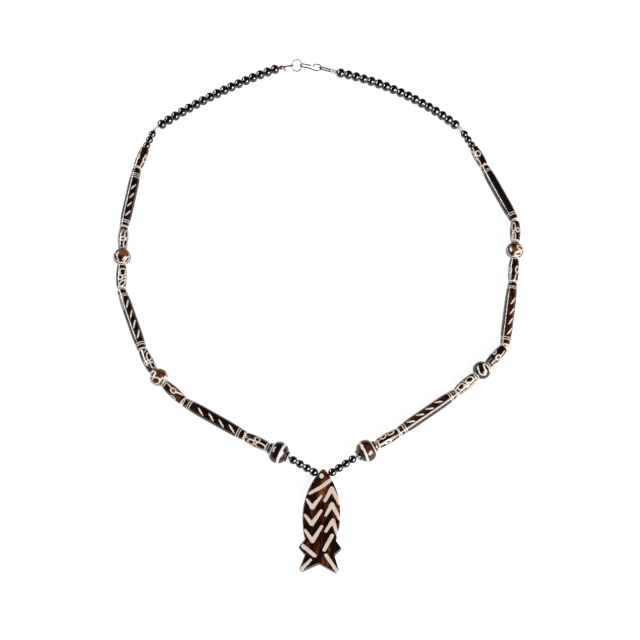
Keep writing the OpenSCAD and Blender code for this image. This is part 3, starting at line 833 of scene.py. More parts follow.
def bone_finish(tree, place, bare_bone=None, grain_axis=2, streak=0.26, shine=0.5):
    """Polished dyed bone: bare cream lines on a ground from black-brown to amber, with grain."""
    paint = colours()
    line = tree.attribute("line")
    warm = tree.attribute("warm")
    stretch = [1.0, 1.0, 1.0]
    stretch[grain_axis] = 0.12
    grain = tree.noise(place, 1.6, 4.0, 0.6, stretch)
    fibres = tree.noise(place, 7.0, 3.0, 0.6, stretch)
    cloud = tree.noise(place, 0.45)
    wobble = tree.noise(place, 1.3, 2.0, 0.6)
    ragged = tree.noise(place, 6.0, 2.0, 0.6)
    # Edge of the bare lines, wavering as a hand-drawn one does
    shifted = tree.plus(line, tree.slope(wobble, 0.3, 0.7, -0.09, 0.09))
    shifted = tree.plus(shifted, tree.slope(ragged, 0.3, 0.7, -0.045, 0.045))
    # bare also holds the few marks that stand in for highlights and reflections on some beads, so part of it
    # is painted highlight
    bare = tree.ramp(shifted, -0.05, 0.05, 1.0, 0.0)
    bleed = tree.ramp(shifted, -0.28, 0.03, 0.0, 1.0)
    # Ground from dye to russet to amber
    warmth = tree.plus(warm, tree.slope(cloud, 0.25, 0.75, -0.16, 0.16))
    warmth = tree.plus(warmth, tree.slope(grain, 0.3, 0.7, -streak, streak))
    cold = tree.ramp(warm, -0.1, 0.1, 1.0, 0.0)
    dye = tree.mix(cold, paint.dye, COLD_DYE)
    ground = tree.mix(tree.ramp(warmth, 0.1, 0.62), dye, paint.russet)
    ground = tree.mix(tree.ramp(warmth, 0.52, 1.05), ground, paint.amber)
    ground = tree.mix(tree.ramp(fibres, 0.42, 0.62, 0.0, 0.55), ground, dye)
    # Bare bone, stained along its pores and at the lines' edges
    pores = tree.ramp(tree.plus(grain, fibres), 0.85, 1.25, 0.0, 0.5)
    cream = tree.mix(pores, bare_bone or paint.bone, paint.bone_stain)
    cream = tree.mix(tree.times(cold, 0.85), cream, paint.bone_grey)
    cream = tree.mix(tree.times(bleed, 0.6), cream, paint.bone_stain)
    gloss = tree.slope(fibres, 0.3, 0.7, 0.16, 0.27)
    relief = tree.plus(tree.times(fibres, 0.5), tree.times(bare, -0.5))
    tree.set(Base_Color=tree.mix(bare, ground, cream), Roughness=tree.plus(gloss, tree.times(bare, 0.1)))
    tree.set(Coat_Weight=0.0, IOR=1.5, Specular_IOR_Level=shine)
    tree.bump(tree.plus(relief, grain), 0.2, 0.00005)


def fish_finish(tree, place):
    """The same bone, its grain along the fish, streakier and duller."""
    bone_finish(tree, place, colours().fish_bone, 1, 0.36, 0.3)


def black_finish(tree, place):
    """Mirror-glossy black, a little uneven."""
    film = tree.noise(place, 0.9)
    smears = tree.noise(place, 5.0, 3.0, 0.6)
    tree.set(Base_Color=tree.mix(tree.ramp(film, 0.35, 0.7), colours().black, BLACK_FILM))
    tree.set(Roughness=tree.slope(smears, 0.3, 0.75, 0.06, 0.14), IOR=1.65, Coat_Weight=0.0)
    tree.bump(film, 0.2, 0.00004)


def glass_finish(tree, place):
    """Clear glass with slight streaks."""
    streaks = tree.noise(place, 1.8, 3.0, 0.5, (1, 1, 0.25))
    tree.set(Base_Color=tree.mix(tree.ramp(streaks, 0.4, 0.7), colours().glass, GLASS_STREAK))
    tree.set(Roughness=tree.slope(streaks, 0.3, 0.7, 0.02, 0.08), Transmission_Weight=0.72, IOR=1.5)
    tree.bump(streaks, 0.3, 0.00006)


def red_finish(tree, place):
    """Glossy red-brown glass, darker in its depth."""
    cloud = tree.noise(place, 1.1, 3.0, 0.6)
    tree.set(Base_Color=tree.mix(tree.ramp(cloud, 0.35, 0.7), colours().red, RED_DEPTH))
    tree.set(Roughness=tree.slope(cloud, 0.3, 0.7, 0.1, 0.2), Coat_Weight=0.5, Coat_Roughness=0.06)
    tree.bump(cloud, 0.2, 0.00005)


def thread_finish(tree, place):
    """Waxed olive-brown thread with fine fibres, and painted shade that darkens it in its grooves."""
    fibres = tree.noise(place, 9.0, 3.0, 0.7, (1, 1, 0.18))
    cloud = tree.noise(place, 0.5)
    painted_groove_shade, dark, pale = (tuple(share * c for c in colours().thread) for share in (0.2, 0.35, 1.5))
    colour = tree.mix(tree.ramp(fibres, 0.3, 0.7), dark, pale)
    colour = tree.mix(tree.ramp(cloud, 0.4, 0.7, 0.0, 0.5), colour, THREAD_BROWN)
    # Painted shade: the colour goes darker towards painted_groove_shade in the grooves between the plies
    colour = tree.mix(tree.ramp(tree.attribute("groove"), 0.0, 1.0, 0.0, 0.8), colour, painted_groove_shade)
    tree.set(Base_Color=colour, Roughness=tree.slope(fibres, 0.3, 0.7, 0.5, 0.7))
    tree.set(Sheen_Weight=0.3, Sheen_Roughness=0.4)
    tree.bump(fibres, 0.6, 0.00006)


def wire_finish(tree, place):
    """Worn grey plating with bronze patches and fine draw lines."""
    patches = tree.noise(place, 0.55, 4.0, 0.65)
    lines = tree.noise(place, 9.0, 2.0, 0.5, (1, 1, 0.1))
    pits = tree.noise(place, 5.0, 3.0, 0.6)
    worn = tree.ramp(tree.plus(patches, tree.times(pits, 0.12)), 0.53, 0.68)
    colour = tree.mix(worn, colours().wire, colours().bronze)
    colour = tree.mix(tree.ramp(lines, 0.4, 0.7, 0.0, 0.3), colour, BRIGHT_WIRE)
    gloss = tree.slope(pits, 0.3, 0.7, 0.22, 0.36)
    tree.set(Base_Color=colour, Metallic=1.0, Roughness=tree.plus(gloss, tree.times(worn, 0.12)))
    tree.bump(tree.plus(lines, pits), 0.3, 0.00004)


FINISHES = {
    "bead_bone": bone_finish,
    "round_bone": bone_finish,
    "fish_bone": fish_finish,
    "black_bead": black_finish,
    "clear_bead": glass_finish,
    "red_bead": red_finish,
    "thread": thread_finish,
    "clasp_wire": wire_finish,
}


def finish(slot):
    """The finished material of a slot, made the first time it is asked for."""
    name = f"{slot}_finish"
    if name not in bpy.data.materials:
        tree = NodeTree(bpy.data.materials.new(name))
        FINISHES[slot](tree, tree.attribute("local", "Vector"))
    return bpy.data.materials[name]


# Making the bone beads: the size of their mesh cells, and how deep their uneven places are
BONE_CELL = 0.22
BONE_WEAR = 0.09
LARGE_WEAR = 0.06
# The noise of each bead starts at its own place, up to this far off
NOISE_REACH = 200
# The marks are laid out as they look from this place above the floor
DRAWN_FROM = np.array([0.6, -214.0, 501.5])


def bone_names():
    """Side, number on the string, kind and name of each bone bead, counted from the fish."""
    for side in SIDES:
        counts = {}
        for i in range(FIRST_BONE, LAST_BONE + 1):
            kind = ROWS[i][0]
            counts[kind] = counts.get(kind, 0) + 1
            bead = "large_round_bead" if kind == "large" else f"{kind}_bead_{counts[kind]}"
            yield side, i, kind, f"{SIDE_NAMES[side]}_{bead}"


def make_bone_bead(layout, side, i, kind_name, name, drawing, slot):
    kind = layout.kinds[kind_name]
    centre, axis = layout.place(side, i)
    rng = np.random.default_rng(100 * side + i)
    wear = LARGE_WEAR if kind_name == "large" else BONE_WEAR
    points, faces, theta, along, local = turned_bead(
        kind, beads().bore / MM / 2, BONE_CELL, side, centre, axis, rng, wear)
    view = unit(DRAWN_FROM - centre)
    up, out = bead_axes(axis, side)
    lean = (view @ axis) * OUTWARDS[side]
    x = along * OUTWARDS[side]
    around = np.mod(theta - math.atan2(view @ out, view @ up) + math.pi, 2 * math.pi) - math.pi
    radius = np.hypot(local[:, 0], local[:, 1])
    seen_x = x * math.sqrt(1 - lean**2) - radius * np.cos(around) * lean
    line, warmth = drawn(drawing, around, x, seen_x, radius, kind.radius)
    if name == SQUIGGLE_BEAD:
        line = np.minimum(line, path_distance(seen_x, around * kind.radius, SQUIGGLE) - SQUIGGLE_LINE)
    local = local + rng.uniform(-NOISE_REACH, NOISE_REACH, 3)
    make_piece(name, slot, points, faces.tolist(), [("line", line), ("warm", warmth), ("local", local)])


def make_bone_beads(drawings, slot):
    """Makes each bone bead that has a drawing there."""
    layout = Layout()
    strung = [bead for bead in bone_names() if bead[3] in drawings]
    if len(strung) != len(drawings):
        raise RuntimeError("a drawing belongs to no bead")
    for side, i, kind, name in strung:
        make_bone_bead(layout, side, i, kind, name, drawings[name], slot)


class NECKLACE_OT_tube_beads(Operator):
    """Make the six long tube beads, with rings at their ends and two rows of slanted cuts"""

    bl_idname = "necklace.tube_beads"
    bl_label = "Tube beads"

    def execute(self, context):
        make_bone_beads(TUBES, "bead_bone")
        return {"FINISHED"}


class NECKLACE_OT_barrel_beads(Operator):
    """Make the twelve barrel beads, with ovals, small rings and lines"""

    bl_idname = "necklace.barrel_beads"
    bl_label = "Barrel beads"

    def execute(self, context):
        make_bone_beads(BARRELS, "bead_bone")
        return {"FINISHED"}


class NECKLACE_OT_round_beads(Operator):
    """Make the small and the large round beads with their collars"""

    bl_idname = "necklace.round_beads"
    bl_label = "Round beads"

    def execute(self, context):
        make_bone_beads(ROUNDS, "round_bone")
        return {"FINISHED"}


# Black and glass beads
BLACK_CELL = 0.32
CLEAR_CELL = 0.14
END_CELL = 0.12
GLASS_WEAR = 0.05
GLASS_SIZES = (0.975, 1.0)
# From the end of each back strand to its end bead
END_GAP = 0.35
# Seeds of the random shapes of the black, the clear and the end beads
BLACK_SEED = 20
CLEAR_SEED = 30
END_SEED = 40


def joined_beads(node, slot, kind, hole, cell, places, side, seed):
    """One mesh of like beads at several places, each (middle, axis)."""
    rng = np.random.default_rng(seed)
    all_points, all_faces, all_local = [], [], []
    start = 0
    for centre, axis in places:
        points, faces, _, _, local = turned_bead(kind, hole, cell, side, centre, axis, rng, GLASS_WEAR)
        shrink = rng.uniform(*GLASS_SIZES)
        all_points.append(centre + (points - centre) * shrink)
        all_faces.append(faces + start)
        all_local.append(local + rng.uniform(-NOISE_REACH, NOISE_REACH, 3))
        start += len(points)
    faces = np.concatenate(all_faces).tolist()
    make_piece(node, slot, np.concatenate(all_points), faces, [("local", np.concatenate(all_local))])


def run_places(layout, side, i):
    """Middle and axis of each bead of a straight run."""
    kind = layout.kind(side, i)
    centre, axis = layout.place(side, i)
    pitch = kind.length - LAP
    return [(centre + axis * (k - (kind.count - 1) / 2) * pitch, axis) for k in range(kind.count)]


class NECKLACE_OT_black_beads(Operator):
    """Make the glossy black beads beside the fish, above the bone and along the back"""

    bl_idname = "necklace.black_beads"
    bl_label = "Black beads"

    def execute(self, context):
        layout = Layout()
        hole = beads().bore / MM / 2
        for side in SIDES:
            groups = {
                "front": run_places(layout, side, FRONT_RUN),
                "upper": run_places(layout, side, UPPER_RUN),
                "back": [layout.place(side, i) for i in range(len(ROWS), layout.count)],
            }
            for number, (kind, places) in enumerate(groups.items()):
                node = f"{SIDE_NAMES[side]}_{kind}_beads"
                joined_beads(node, "black_bead", layout.kinds[kind], hole, BLACK_CELL, places, side,
                             BLACK_SEED + len(groups) * side + number)
        return {"FINISHED"}


class NECKLACE_OT_glass_beads(Operator):
    """Make the small clear beads, and the clear and the red-brown bead at the clasp"""

    bl_idname = "necklace.glass_beads"
    bl_label = "Glass beads"

    def execute(self, context):
        layout = Layout()
        wires = Clasp(layout)
        hole = beads().bore / MM / 2
        end_hole = beads().end_bore / MM / 2
        for side in SIDES:
            place = layout.place(side, CLEAR_BEAD)
            joined_beads(f"{SIDE_NAMES[side]}_clear_bead", "clear_bead", layout.kinds["clear"], hole,
                         CLEAR_CELL, [place], side, CLEAR_SEED + side)
        ends = [
            ("left_end_bead", "red_bead", "end", wires.left_end, wires.left_in),
            ("right_end_bead", "clear_bead", "clear", wires.right_end, wires.right_in),
        ]
        for number, (node, slot, kind_name, start, axis) in enumerate(ends):
            kind = layout.kinds[kind_name]
            place = (start + axis * (END_GAP + kind.length / 2), axis)
            joined_beads(node, slot, kind, end_hole, END_CELL, [place], RIGHT, END_SEED + number)
        return {"FINISHED"}


# Clasp wire and thread routes. The ring and the hook are turned by these angles, in degrees
RING_LEAN = 38
RING_TURN = 25
# The ring's two ends meet in a fine seam here
RING_SEAM = 100
RING_FROM_END = (9.0, 1.6)
HOOK_HEADING = -10
HOOK_ROLL = -8
HOOK_SEAT = np.array([0.06, -0.03, 0.03])
HOOK_TIP_X = 4.6
HOOK_LEG_X = 2.9
EYE_END = [(5.55, 0.8), (5.5, 0.1)]
# The thread's turns round the wire: their gap, how far they move along the ring, and the two strands' spread
WIRE_GAP = 0.12
RING_SHIFT = 0.22
STRAND_SPREAD = 0.36
END_LEAD = 0.5
# Where the thread's end comes back into the end bead, and how far it stands out of it before its tail
TAIL_BACK = 0.5
TAIL_OUT = 0.35
# Past the clear end bead the two strands open to this many times their spread
OPEN_AT = 0.9
OPEN_SPREAD = 1.5
TAIL = np.array([(0.0, 0.0, 0.0), (0.3, -0.5, -0.3), (0.5, -1.5, -1.1)])


def arc_points(centre, radius, start, end, steps):
    angles = np.radians(np.linspace(start, end, steps + 1))
    return [(centre[0] + radius * math.cos(a), centre[1] + radius * math.sin(a)) for a in angles]


class Clasp:
    """Where the ring, the hook and the doubled ends of the thread lie."""

    def __init__(self, layout):
        size = clasp()
        wire = size.wire / MM
        thread = size.thread / MM
        self.ring_radius = size.ring_width / MM / 2
        self.left_end = layout.routes[LEFT][-1]
        self.right_end = layout.routes[RIGHT][-1]
        level = cosd(RING_LEAN) * cosd(RING_TURN)
        rise = self.ring_radius * math.sqrt(1 - level**2) + wire / 2
        self.ring_at = np.array([*(self.left_end[:2] + RING_FROM_END), rise])
        hook_width = size.hook_width / MM
        eye_radius = size.eye_width / MM / 2
        eye_x = size.eye_at / MM
        self.hook_at = self.ring_point(0) + HOOK_SEAT
        # The hook's drawing: its open leg, its bend, its other leg and its eye
        flat = [(HOOK_TIP_X, 0.36 * hook_width), (HOOK_TIP_X / 2, 0.46 * hook_width)]
        flat += arc_points((0, 0), hook_width / 2, 90, 270, 8)
        flat += [(HOOK_LEG_X, -0.52 * hook_width)]
        flat += arc_points((eye_x, 0), eye_radius, -125, 140, 16) + EYE_END
        self.hook_route = [self.hook_at + self.hook_frame((x, y, 0)) for x, y in flat]
        self.turn_radius = (wire + thread) / 2 + WIRE_GAP
        catch = self.ring_point(180)
        eye = self.hook_at + self.hook_frame((eye_x + eye_radius, 0, 0))
        self.left_in = unit(catch - self.left_end)
        self.right_in = unit(eye - self.right_end)
        tangent = self.ring_frame((0, -1, 0))
        left_up = -unit(np.cross(self.left_in, tangent))
        left_along = np.cross(left_up, self.left_in)
        right_along = unit(np.cross(Z, self.right_in))
        right_up = np.cross(self.right_in, right_along)
        self.left_thread = self.left_strands(layout, catch, left_up, left_along)
        self.right_thread = self.right_strands(layout, eye, right_up, right_along)

    def ring_frame(self, point):
        return turned_x(turned_y(point, RING_TURN), RING_LEAN)

    def ring_point(self, angle):
        return self.ring_at + self.ring_frame(
            (self.ring_radius * cosd(angle), self.ring_radius * sind(angle), 0))

    def hook_frame(self, point):
        return turned_z(turned_x(point, HOOK_ROLL), HOOK_HEADING)

    def wire_turn(self, at, inward, up, along, shift):
        return [
            at + self.turn_radius * (cosd(a) * inward + sind(a) * up) + shift * a / 90 * along
            for a in range(-90, 91, 30)
        ]

    def left_strands(self, layout, catch, up, along):
        def strand(angle):
            return STRAND_SPREAD * (sind(angle) * up + cosd(angle) * along)
        end = END_GAP + layout.kinds["end"].length
        to_beads, from_ring, to_tail = strand(90), strand(-30), strand(210)
        at, axis = self.left_end, self.left_in
        route = [at + to_beads * END_LEAD, at + axis * END_GAP + to_beads, at + axis * end + to_beads]
        route += self.wire_turn(catch, axis, up, along, RING_SHIFT)[::-1]
        back = at + axis * (END_GAP + TAIL_BACK)
        route += [at + axis * end + from_ring, back + from_ring, back + to_tail]
        return route + [at + axis * (end + TAIL_OUT) + to_tail + p for p in TAIL]

    def right_strands(self, layout, eye, up, along):
        end = END_GAP + layout.kinds["clear"].length
        at, axis = self.right_end, self.right_in
        spread = along * STRAND_SPREAD
        open_at = at + axis * (end + OPEN_AT)
        route = [at + axis * END_GAP + spread, at + axis * end + spread, open_at + OPEN_SPREAD * spread]
        route += self.wire_turn(eye, axis, up, self.hook_frame((0, 1, 0)), STRAND_SPREAD / 2)
        route += [open_at - OPEN_SPREAD * spread, at + axis * end - spread]
        return route + [at + axis * END_GAP - spread, at - spread * END_LEAD]

    def thread_route(self, layout):
        stops = list(range(len(ROWS) + 1)) + list(range(len(ROWS) + 2, layout.count, 2))
        right = [layout.routes[RIGHT][j] for j in stops][::-1]
        left = [layout.routes[LEFT][j] for j in stops]
        return self.right_thread + right + left + self.left_thread


EASE_POINTS = 5


def eased_route(route, cut):
    """A route with each corner rounded off within that distance of it."""
    points = [route[0]]
    for before, at, after in zip(route[:-2], route[1:-1], route[2:]):
        back = unit(before - at) * min(cut, 0.45 * np.linalg.norm(before - at))
        on = unit(after - at) * min(cut, 0.45 * np.linalg.norm(after - at))
        for share in np.linspace(0, 1, EASE_POINTS):
            points.append(at + (1 - share) ** 2 * back + share**2 * on)
    points.append(route[-1])
    return np.array(points)


def even_route(points, step):
    """The same route with its points about that far apart."""
    length = np.concatenate([[0], np.cumsum(np.linalg.norm(np.diff(points, axis=0), axis=1))])
    keep = np.concatenate([[True], np.diff(length) > 1e-6])
    length, points = length[keep], points[keep]
    places = np.linspace(0, length[-1], int(length[-1] / step) + 1)
    return np.stack([np.interp(places, length, points[:, k]) for k in range(3)], 1), places


def carried_axes(points):
    """Two directions square to the route at each point, carried along it without twist."""
    aims = np.gradient(points, axis=0)
    aims /= np.linalg.norm(aims, axis=1)[:, None]
    first = np.cross(aims[0], Z)
    if np.linalg.norm(first) < 0.1:
        first = np.array([1.0, 0.0, 0.0])
    side = np.empty_like(points)
    for i, direction in enumerate(aims):
        first = unit(first - (first @ direction) * direction)
        side[i] = first
    return side, np.cross(aims, side)


def angles_round(sides):
    return np.linspace(0, 2 * math.pi, sides, endpoint=False)


def swept(points, radii, sides):
    """A closed tube along points: radii is one radius, or one row of radii, for each ring."""
    first, second = carried_axes(points)
    angles = angles_round(sides)
    radii = np.broadcast_to(np.asarray(radii, float).reshape(len(points), -1), (len(points), sides))
    rings = (points[:, None] + radii[..., None] * (
        np.cos(angles)[None, :, None] * first[:, None] + np.sin(angles)[None, :, None] * second[:, None]))
    count = len(points)
    faces = ring_faces(count, sides)[:-sides].tolist()
    faces.append(list(range(sides))[::-1])
    faces.append(list(range((count - 1) * sides, count * sides)))
    return rings.reshape(-1, 3), faces


def round_ends(places, radius):
    """Radii of a wire or cut thread whose two ends are rounded."""
    from_end = np.minimum(places, places[-1] - places)
    reach = np.clip(from_end / radius, 0, 1)
    return radius * np.sqrt(np.clip(1 - (1 - reach) ** 2, 0.02, 1))


WIRE_STEP = 0.12
WIRE_SIDES = 20
RING_CORNER = 0.05
HOOK_CORNER = 0.9


def make_wire(node, route, corner):
    radius = clasp().wire / MM / 2
    points, places = even_route(eased_route(route, corner), WIRE_STEP)
    rings, faces = swept(points, round_ends(places, radius), WIRE_SIDES)
    angles = np.tile(angles_round(WIRE_SIDES), len(points))
    local = np.stack([np.cos(angles) * radius, np.sin(angles) * radius, np.repeat(places, WIRE_SIDES)], 1)
    make_piece(node, "clasp_wire", rings, faces, [("local", local)])


class NECKLACE_OT_clasp(Operator):
    """Make the plain wire ring and the hook with its drop-shaped eye"""

    bl_idname = "necklace.clasp"
    bl_label = "Clasp"

    def execute(self, context):
        wires = Clasp(Layout())
        turn = np.linspace(RING_SEAM + 0.5, RING_SEAM + 359.5, 91)
        make_wire("clasp_ring", [wires.ring_point(angle) for angle in turn], RING_CORNER)
        make_wire("clasp_hook", wires.hook_route, HOOK_CORNER)
        return {"FINISHED"}


PLIES = 3
PLY_DEPTH = 0.16
THREAD_STEP = 0.2
THREAD_SIDES = 15
THREAD_CORNER = 0.5
# Radius at which the thread's fibres are drawn
FIBRE_RADIUS = 0.3


class NECKLACE_OT_thread(Operator):
    """Make the twisted thread, doubled round the ring and the hook's eye"""

    bl_idname = "necklace.thread"
    bl_label = "Thread"

    def execute(self, context):
        layout = Layout()
        route = Clasp(layout).thread_route(layout)
        points, places = even_route(eased_route(route, THREAD_CORNER), THREAD_STEP)
        twist = 2 * math.pi * places / (clasp().twist / MM)
        lay = angles_round(THREAD_SIDES)[None, :] - twist[:, None]
        groove = 0.5 - 0.5 * np.cos(PLIES * lay)
        whole = round_ends(places, clasp().thread / MM / 2)
        rings, faces = swept(points, whole[:, None] * (1 - PLY_DEPTH * groove), THREAD_SIDES)
        along = np.repeat(places[:, None], THREAD_SIDES, 1)
        local = np.stack([np.cos(lay) * FIBRE_RADIUS, np.sin(lay) * FIBRE_RADIUS, along], 2)
        # The groove attribute also drives the painted shade that darkens the thread's grooves
        attributes = [("local", local.reshape(-1, 3)), ("groove", groove.ravel())]
        make_piece("thread", "thread", rings, faces, attributes)
        return {"FINISHED"}


# The fish. Corners of fin, tail and notch on one side are (x, y, radius), y running up to the nose
FISH_TAIL = [(9.1, -33.9, 0.8), (6.2, -36.9, 0.8), (8.9, -45.0, 0.9), (4.2, -42.6, 3.0)]
FISH_NOTCH = (0.0, -40.5, 0.5)
NOSE_RADIUS = 1.2
BODY_END = 30.4
FIN_CORNER = 0.6
# From the nose, where its rounding has passed into the side arc
ARC_START = 1.8

# How far apart its points are along the outline and on its face, and how far in the rows beside the edge are
OUTLINE_STEP = 0.24
FACE_CELL = 0.26
EDGE_ROWS = (0.0, 0.08, 0.18, 0.3, 0.44, 0.6)
FISH_SWELL = 0.05
FISH_SEED = 7

# Bare lines on the fish: x, y and half width at each point
FISH_LINES = [
    [(-5.37, -11.1, 0.6), (-0.56, -8.1, 0.8), (3.3, -4.9, 0.8)],
    [(-6.5, -13.8, 0.5), (-4.0, -17.1, 0.95), (-0.4, -12.0, 0.5)],
    [(-7.0, -20.5, 0.55), (-3.85, -24.1, 0.95), (-0.15, -18.35, 0.6)],
    [(-6.6, -26.9, 0.55), (-3.3, -31.3, 0.95), (0.35, -25.0, 0.6)],
    [(1.2, -14.05, 0.65), (3.9, -8.6, 0.95), (7.4, -14.9, 0.75)],
    [(1.9, -20.15, 0.6), (4.25, -15.4, 0.95), (7.8, -21.6, 0.7)],
    [(2.1, -27.0, 0.6), (4.9, -22.3, 0.9), (7.2, -28.5, 0.7)],
    [(4.8, -28.7, 0.8), (1.8, -34.8, 0.75)],
    [(-7.2, -33.6, 0.85), (-2.1, -37.4, 0.8)],
    [(-3.7, -39.2, 0.55), (-7.7, -43.6, 0.8)],
    [(2.6, -37.0, 0.75), (7.7, -43.8, 0.75)],
]
# The eye's middle, half width and half length
FISH_EYE = (-0.64, -3.27, 1.02, 1.1)
# Warmth of the whole fish, and its warm places: x, y, half width, half length, warmth
BASE_WARMTH = 0.04
FISH_WARM = [
    (0.9, -6.6, 2.4, 4.6, 0.8), (-0.6, -11.5, 1.7, 2.6, 1.05), (0.6, -1.0, 2.2, 1.6, 0.75),
    (8.3, -17.0, 1.5, 10.0, 0.95), (6.4, -12.0, 1.0, 5.0, 0.55), (2.0, -14.0, 1.3, 4.6, 0.5),
    (-3.4, -22.0, 1.3, 8.0, 0.36), (1.0, -24.0, 0.9, 7.0, 0.4), (-1.6, -30.0, 1.3, 4.5, 0.34),
    (-5.0, -33.0, 1.5, 4.0, 0.4), (1.3, -40.0, 1.0, 2.2, 0.6), (5.5, -21.0, 1.0, 4.0, 0.5),
    (-1.0, -36.0, 1.0, 4.4, 0.4), (3.4, -41.0, 1.2, 2.6, 0.55), (-6.6, -43.0, 1.2, 1.6, 0.45),
    (-7.9, -15.0, 0.9, 8.0, 0.5), (-4.6, -9.5, 0.8, 3.5, 0.4), (3.6, -34.5, 0.8, 4.0, 0.42),
]


CORNER_POINTS = 8


def rounded_corner(before, at, after, radius):
    """Points of the arc that rounds one corner."""
    a, b = unit(before - at), unit(after - at)
    half = math.acos(float(np.clip(a @ b, -1, 1))) / 2
    centre = at + unit(a + b) * radius / math.sin(half)
    start, end = at + a * radius / math.tan(half) - centre, at + b * radius / math.tan(half) - centre
    sweep = math.acos(float(np.clip(unit(start) @ unit(end), -1, 1)))
    return [
        centre + (math.sin((1 - s) * sweep) * start + math.sin(s * sweep) * end) / math.sin(sweep)
        for s in np.linspace(0, 1, CORNER_POINTS)
    ]


def fish_outline():
    """The fish's outline, evenly spaced, going from the nose down its right side and up its left."""
    half = fish().half_width / MM
    broad = fish().broad_at / MM
    lower = np.linspace(broad, BODY_END - FIN_CORNER, 14)[1:]
    side = [(side_arc(half, upper_arc(), y), -y, 0) for y in np.linspace(ARC_START, broad, 24)]
    side += [(side_arc(half, LOWER_ARC, y), -y, 0) for y in lower]
    side += [(side_arc(half, LOWER_ARC, BODY_END), -BODY_END - 0.2, FIN_CORNER), *FISH_TAIL]
    corners = [(0, NOSE_SHARP, NOSE_RADIUS)] + side + [FISH_NOTCH] + [(-x, y, r) for x, y, r in side[::-1]]
    points = []
    for k, (x, y, radius) in enumerate(corners):
        at = np.array([x, y])
        if radius == 0:
            points.append(at)
            continue
        before = np.array(corners[k - 1][:2])
        after = np.array(corners[(k + 1) % len(corners)][:2])
        points += rounded_corner(before, at, after, radius)
    loop = np.array(points + [points[0]])
    flat = np.concatenate([loop, np.zeros((len(loop), 1))], 1)
    return even_route(flat, OUTLINE_STEP)[0][:-1, :2]


def inset_loop(loop, distance):
    """The outline moved inwards by that distance."""
    along = np.roll(loop, -1, 0) - np.roll(loop, 1, 0)
    along /= np.linalg.norm(along, axis=1)[:, None]
    return loop + distance * np.stack([along[:, 1], -along[:, 0]], 1)


def outline_distance(points, loop):
    """Distance from each point to the outline."""
    return path_distance(points[:, 0], points[:, 1], [*loop, loop[0]])


def fish_pattern(x, y):
    """Line distance and warmth on the face of the fish."""
    from_eye = ellipse_distance(x - FISH_EYE[0], y - FISH_EYE[1], FISH_EYE[2], FISH_EYE[3])
    line = from_eye
    for points in FISH_LINES:
        for start, end in zip(points[:-1], points[1:]):
            half_width = start[2] + (end[2] - start[2]) * segment_share(x, y, start, end)
            line = np.minimum(line, segment_distance(x, y, start, end) - half_width)
    warm = np.full_like(x, BASE_WARMTH)
    for x0, y0, a, b, amount in FISH_WARM:
        near = np.hypot((x - x0) / a, (y - y0) / b)
        warm = np.maximum(warm, amount * np.clip(1.35 - near, 0, 1))
    # The dye is dark round the eye
    return line, warm * np.clip(from_eye / 1.1, 0.1, 1)


def fish_face(loop):
    """Flat points and triangles that fill the outline, and the points that lie on it in order."""
    rows = [inset_loop(loop, distance) for distance in EDGE_ROWS]
    low, high = loop.min(0), loop.max(0)
    xs, ys = (np.arange(low[k], high[k], FACE_CELL) for k in (0, 1))
    grid = np.stack(np.meshgrid(xs, ys), -1).reshape(-1, 2)
    inside = grid[inside_loop(grid, loop)]
    inside = inside[outline_distance(inside, loop) > EDGE_ROWS[-1] + 0.55 * FACE_CELL]
    count = len(loop)
    points = np.concatenate(rows + [inside])
    edges = [(i, (i + 1) % count) for i in range(count)]
    _, _, triangles, sources, _, _ = delaunay_2d_cdt([tuple(p) for p in points], edges, [], 0, 1e-5)
    places = np.array([points[source[0]] for source in sources])
    middles = np.array([places[list(face)].mean(0) for face in triangles])
    came_to = {v: k for k, source in enumerate(sources) for v in source}
    rim = [came_to[i] for i in range(count)]
    # A face with three corners on the outline lies outside it, or is a sliver along it
    outline = set(rim)
    within = zip(triangles, inside_loop(middles, loop))
    faces = [face if faces_up(places, face) else face[::-1]
             for face, good in within if good and not outline.issuperset(face)]
    return places, faces, rim


def faces_up(flat, face):
    a, b, c = (flat[v] for v in face)
    return (b[0] - a[0]) * (c[1] - a[1]) - (b[1] - a[1]) * (c[0] - a[0]) > 0


def inside_loop(points, loop):
    crossings = np.zeros(len(points), int)
    for a, b in zip(loop, np.roll(loop, -1, 0)):
        span = (a[1] > points[:, 1]) != (b[1] > points[:, 1])
        height = b[1] - a[1] if b[1] != a[1] else 1e-9
        crossings += span & (points[:, 0] < a[0] + (points[:, 1] - a[1]) * (b[0] - a[0]) / height)
    return crossings % 2 == 1


def fish_place(points):
    """Points of the fish's own drawing, nose at its top, put where the fish lies."""
    moved = np.asarray(points) + np.array([0, fish().hole_at / MM, 0])
    return turned_z(moved, math.degrees(fish().heading) - 90) - MIDDLE


# The rod that drills the thread hole, and the warmth of the dye in it
ROD_REACH = 6.0
ROD_POINTS = 25
ROD_SIDES = 32
HOLE_WARMTH = 0.2


def drill(piece, radius):
    """Cuts the thread hole across the head with a fine rod."""
    depth = fish().thickness / MM / 2
    across = np.linspace(-ROD_REACH, ROD_REACH, ROD_POINTS)
    points = fish_place([(x, -fish().hole_at / MM, depth) for x in across])
    rings, faces = swept(points, np.full(len(points), radius), ROD_SIDES)
    bare = np.full(len(rings), FAR)
    warm = np.full(len(rings), HOLE_WARMTH)
    rod = add_mesh("thread_hole", rings, faces, [("line", bare), ("warm", warm), ("local", rings)])
    cut = piece.modifiers.new("thread_hole", "BOOLEAN")
    cut.operation = "DIFFERENCE"
    cut.solver = "EXACT"
    cut.object = rod
    graph = bpy.context.evaluated_depsgraph_get()
    mesh = bpy.data.meshes.new_from_object(piece.evaluated_get(graph))
    piece.modifiers.remove(cut)
    piece.data = mesh
    bpy.data.objects.remove(rod)


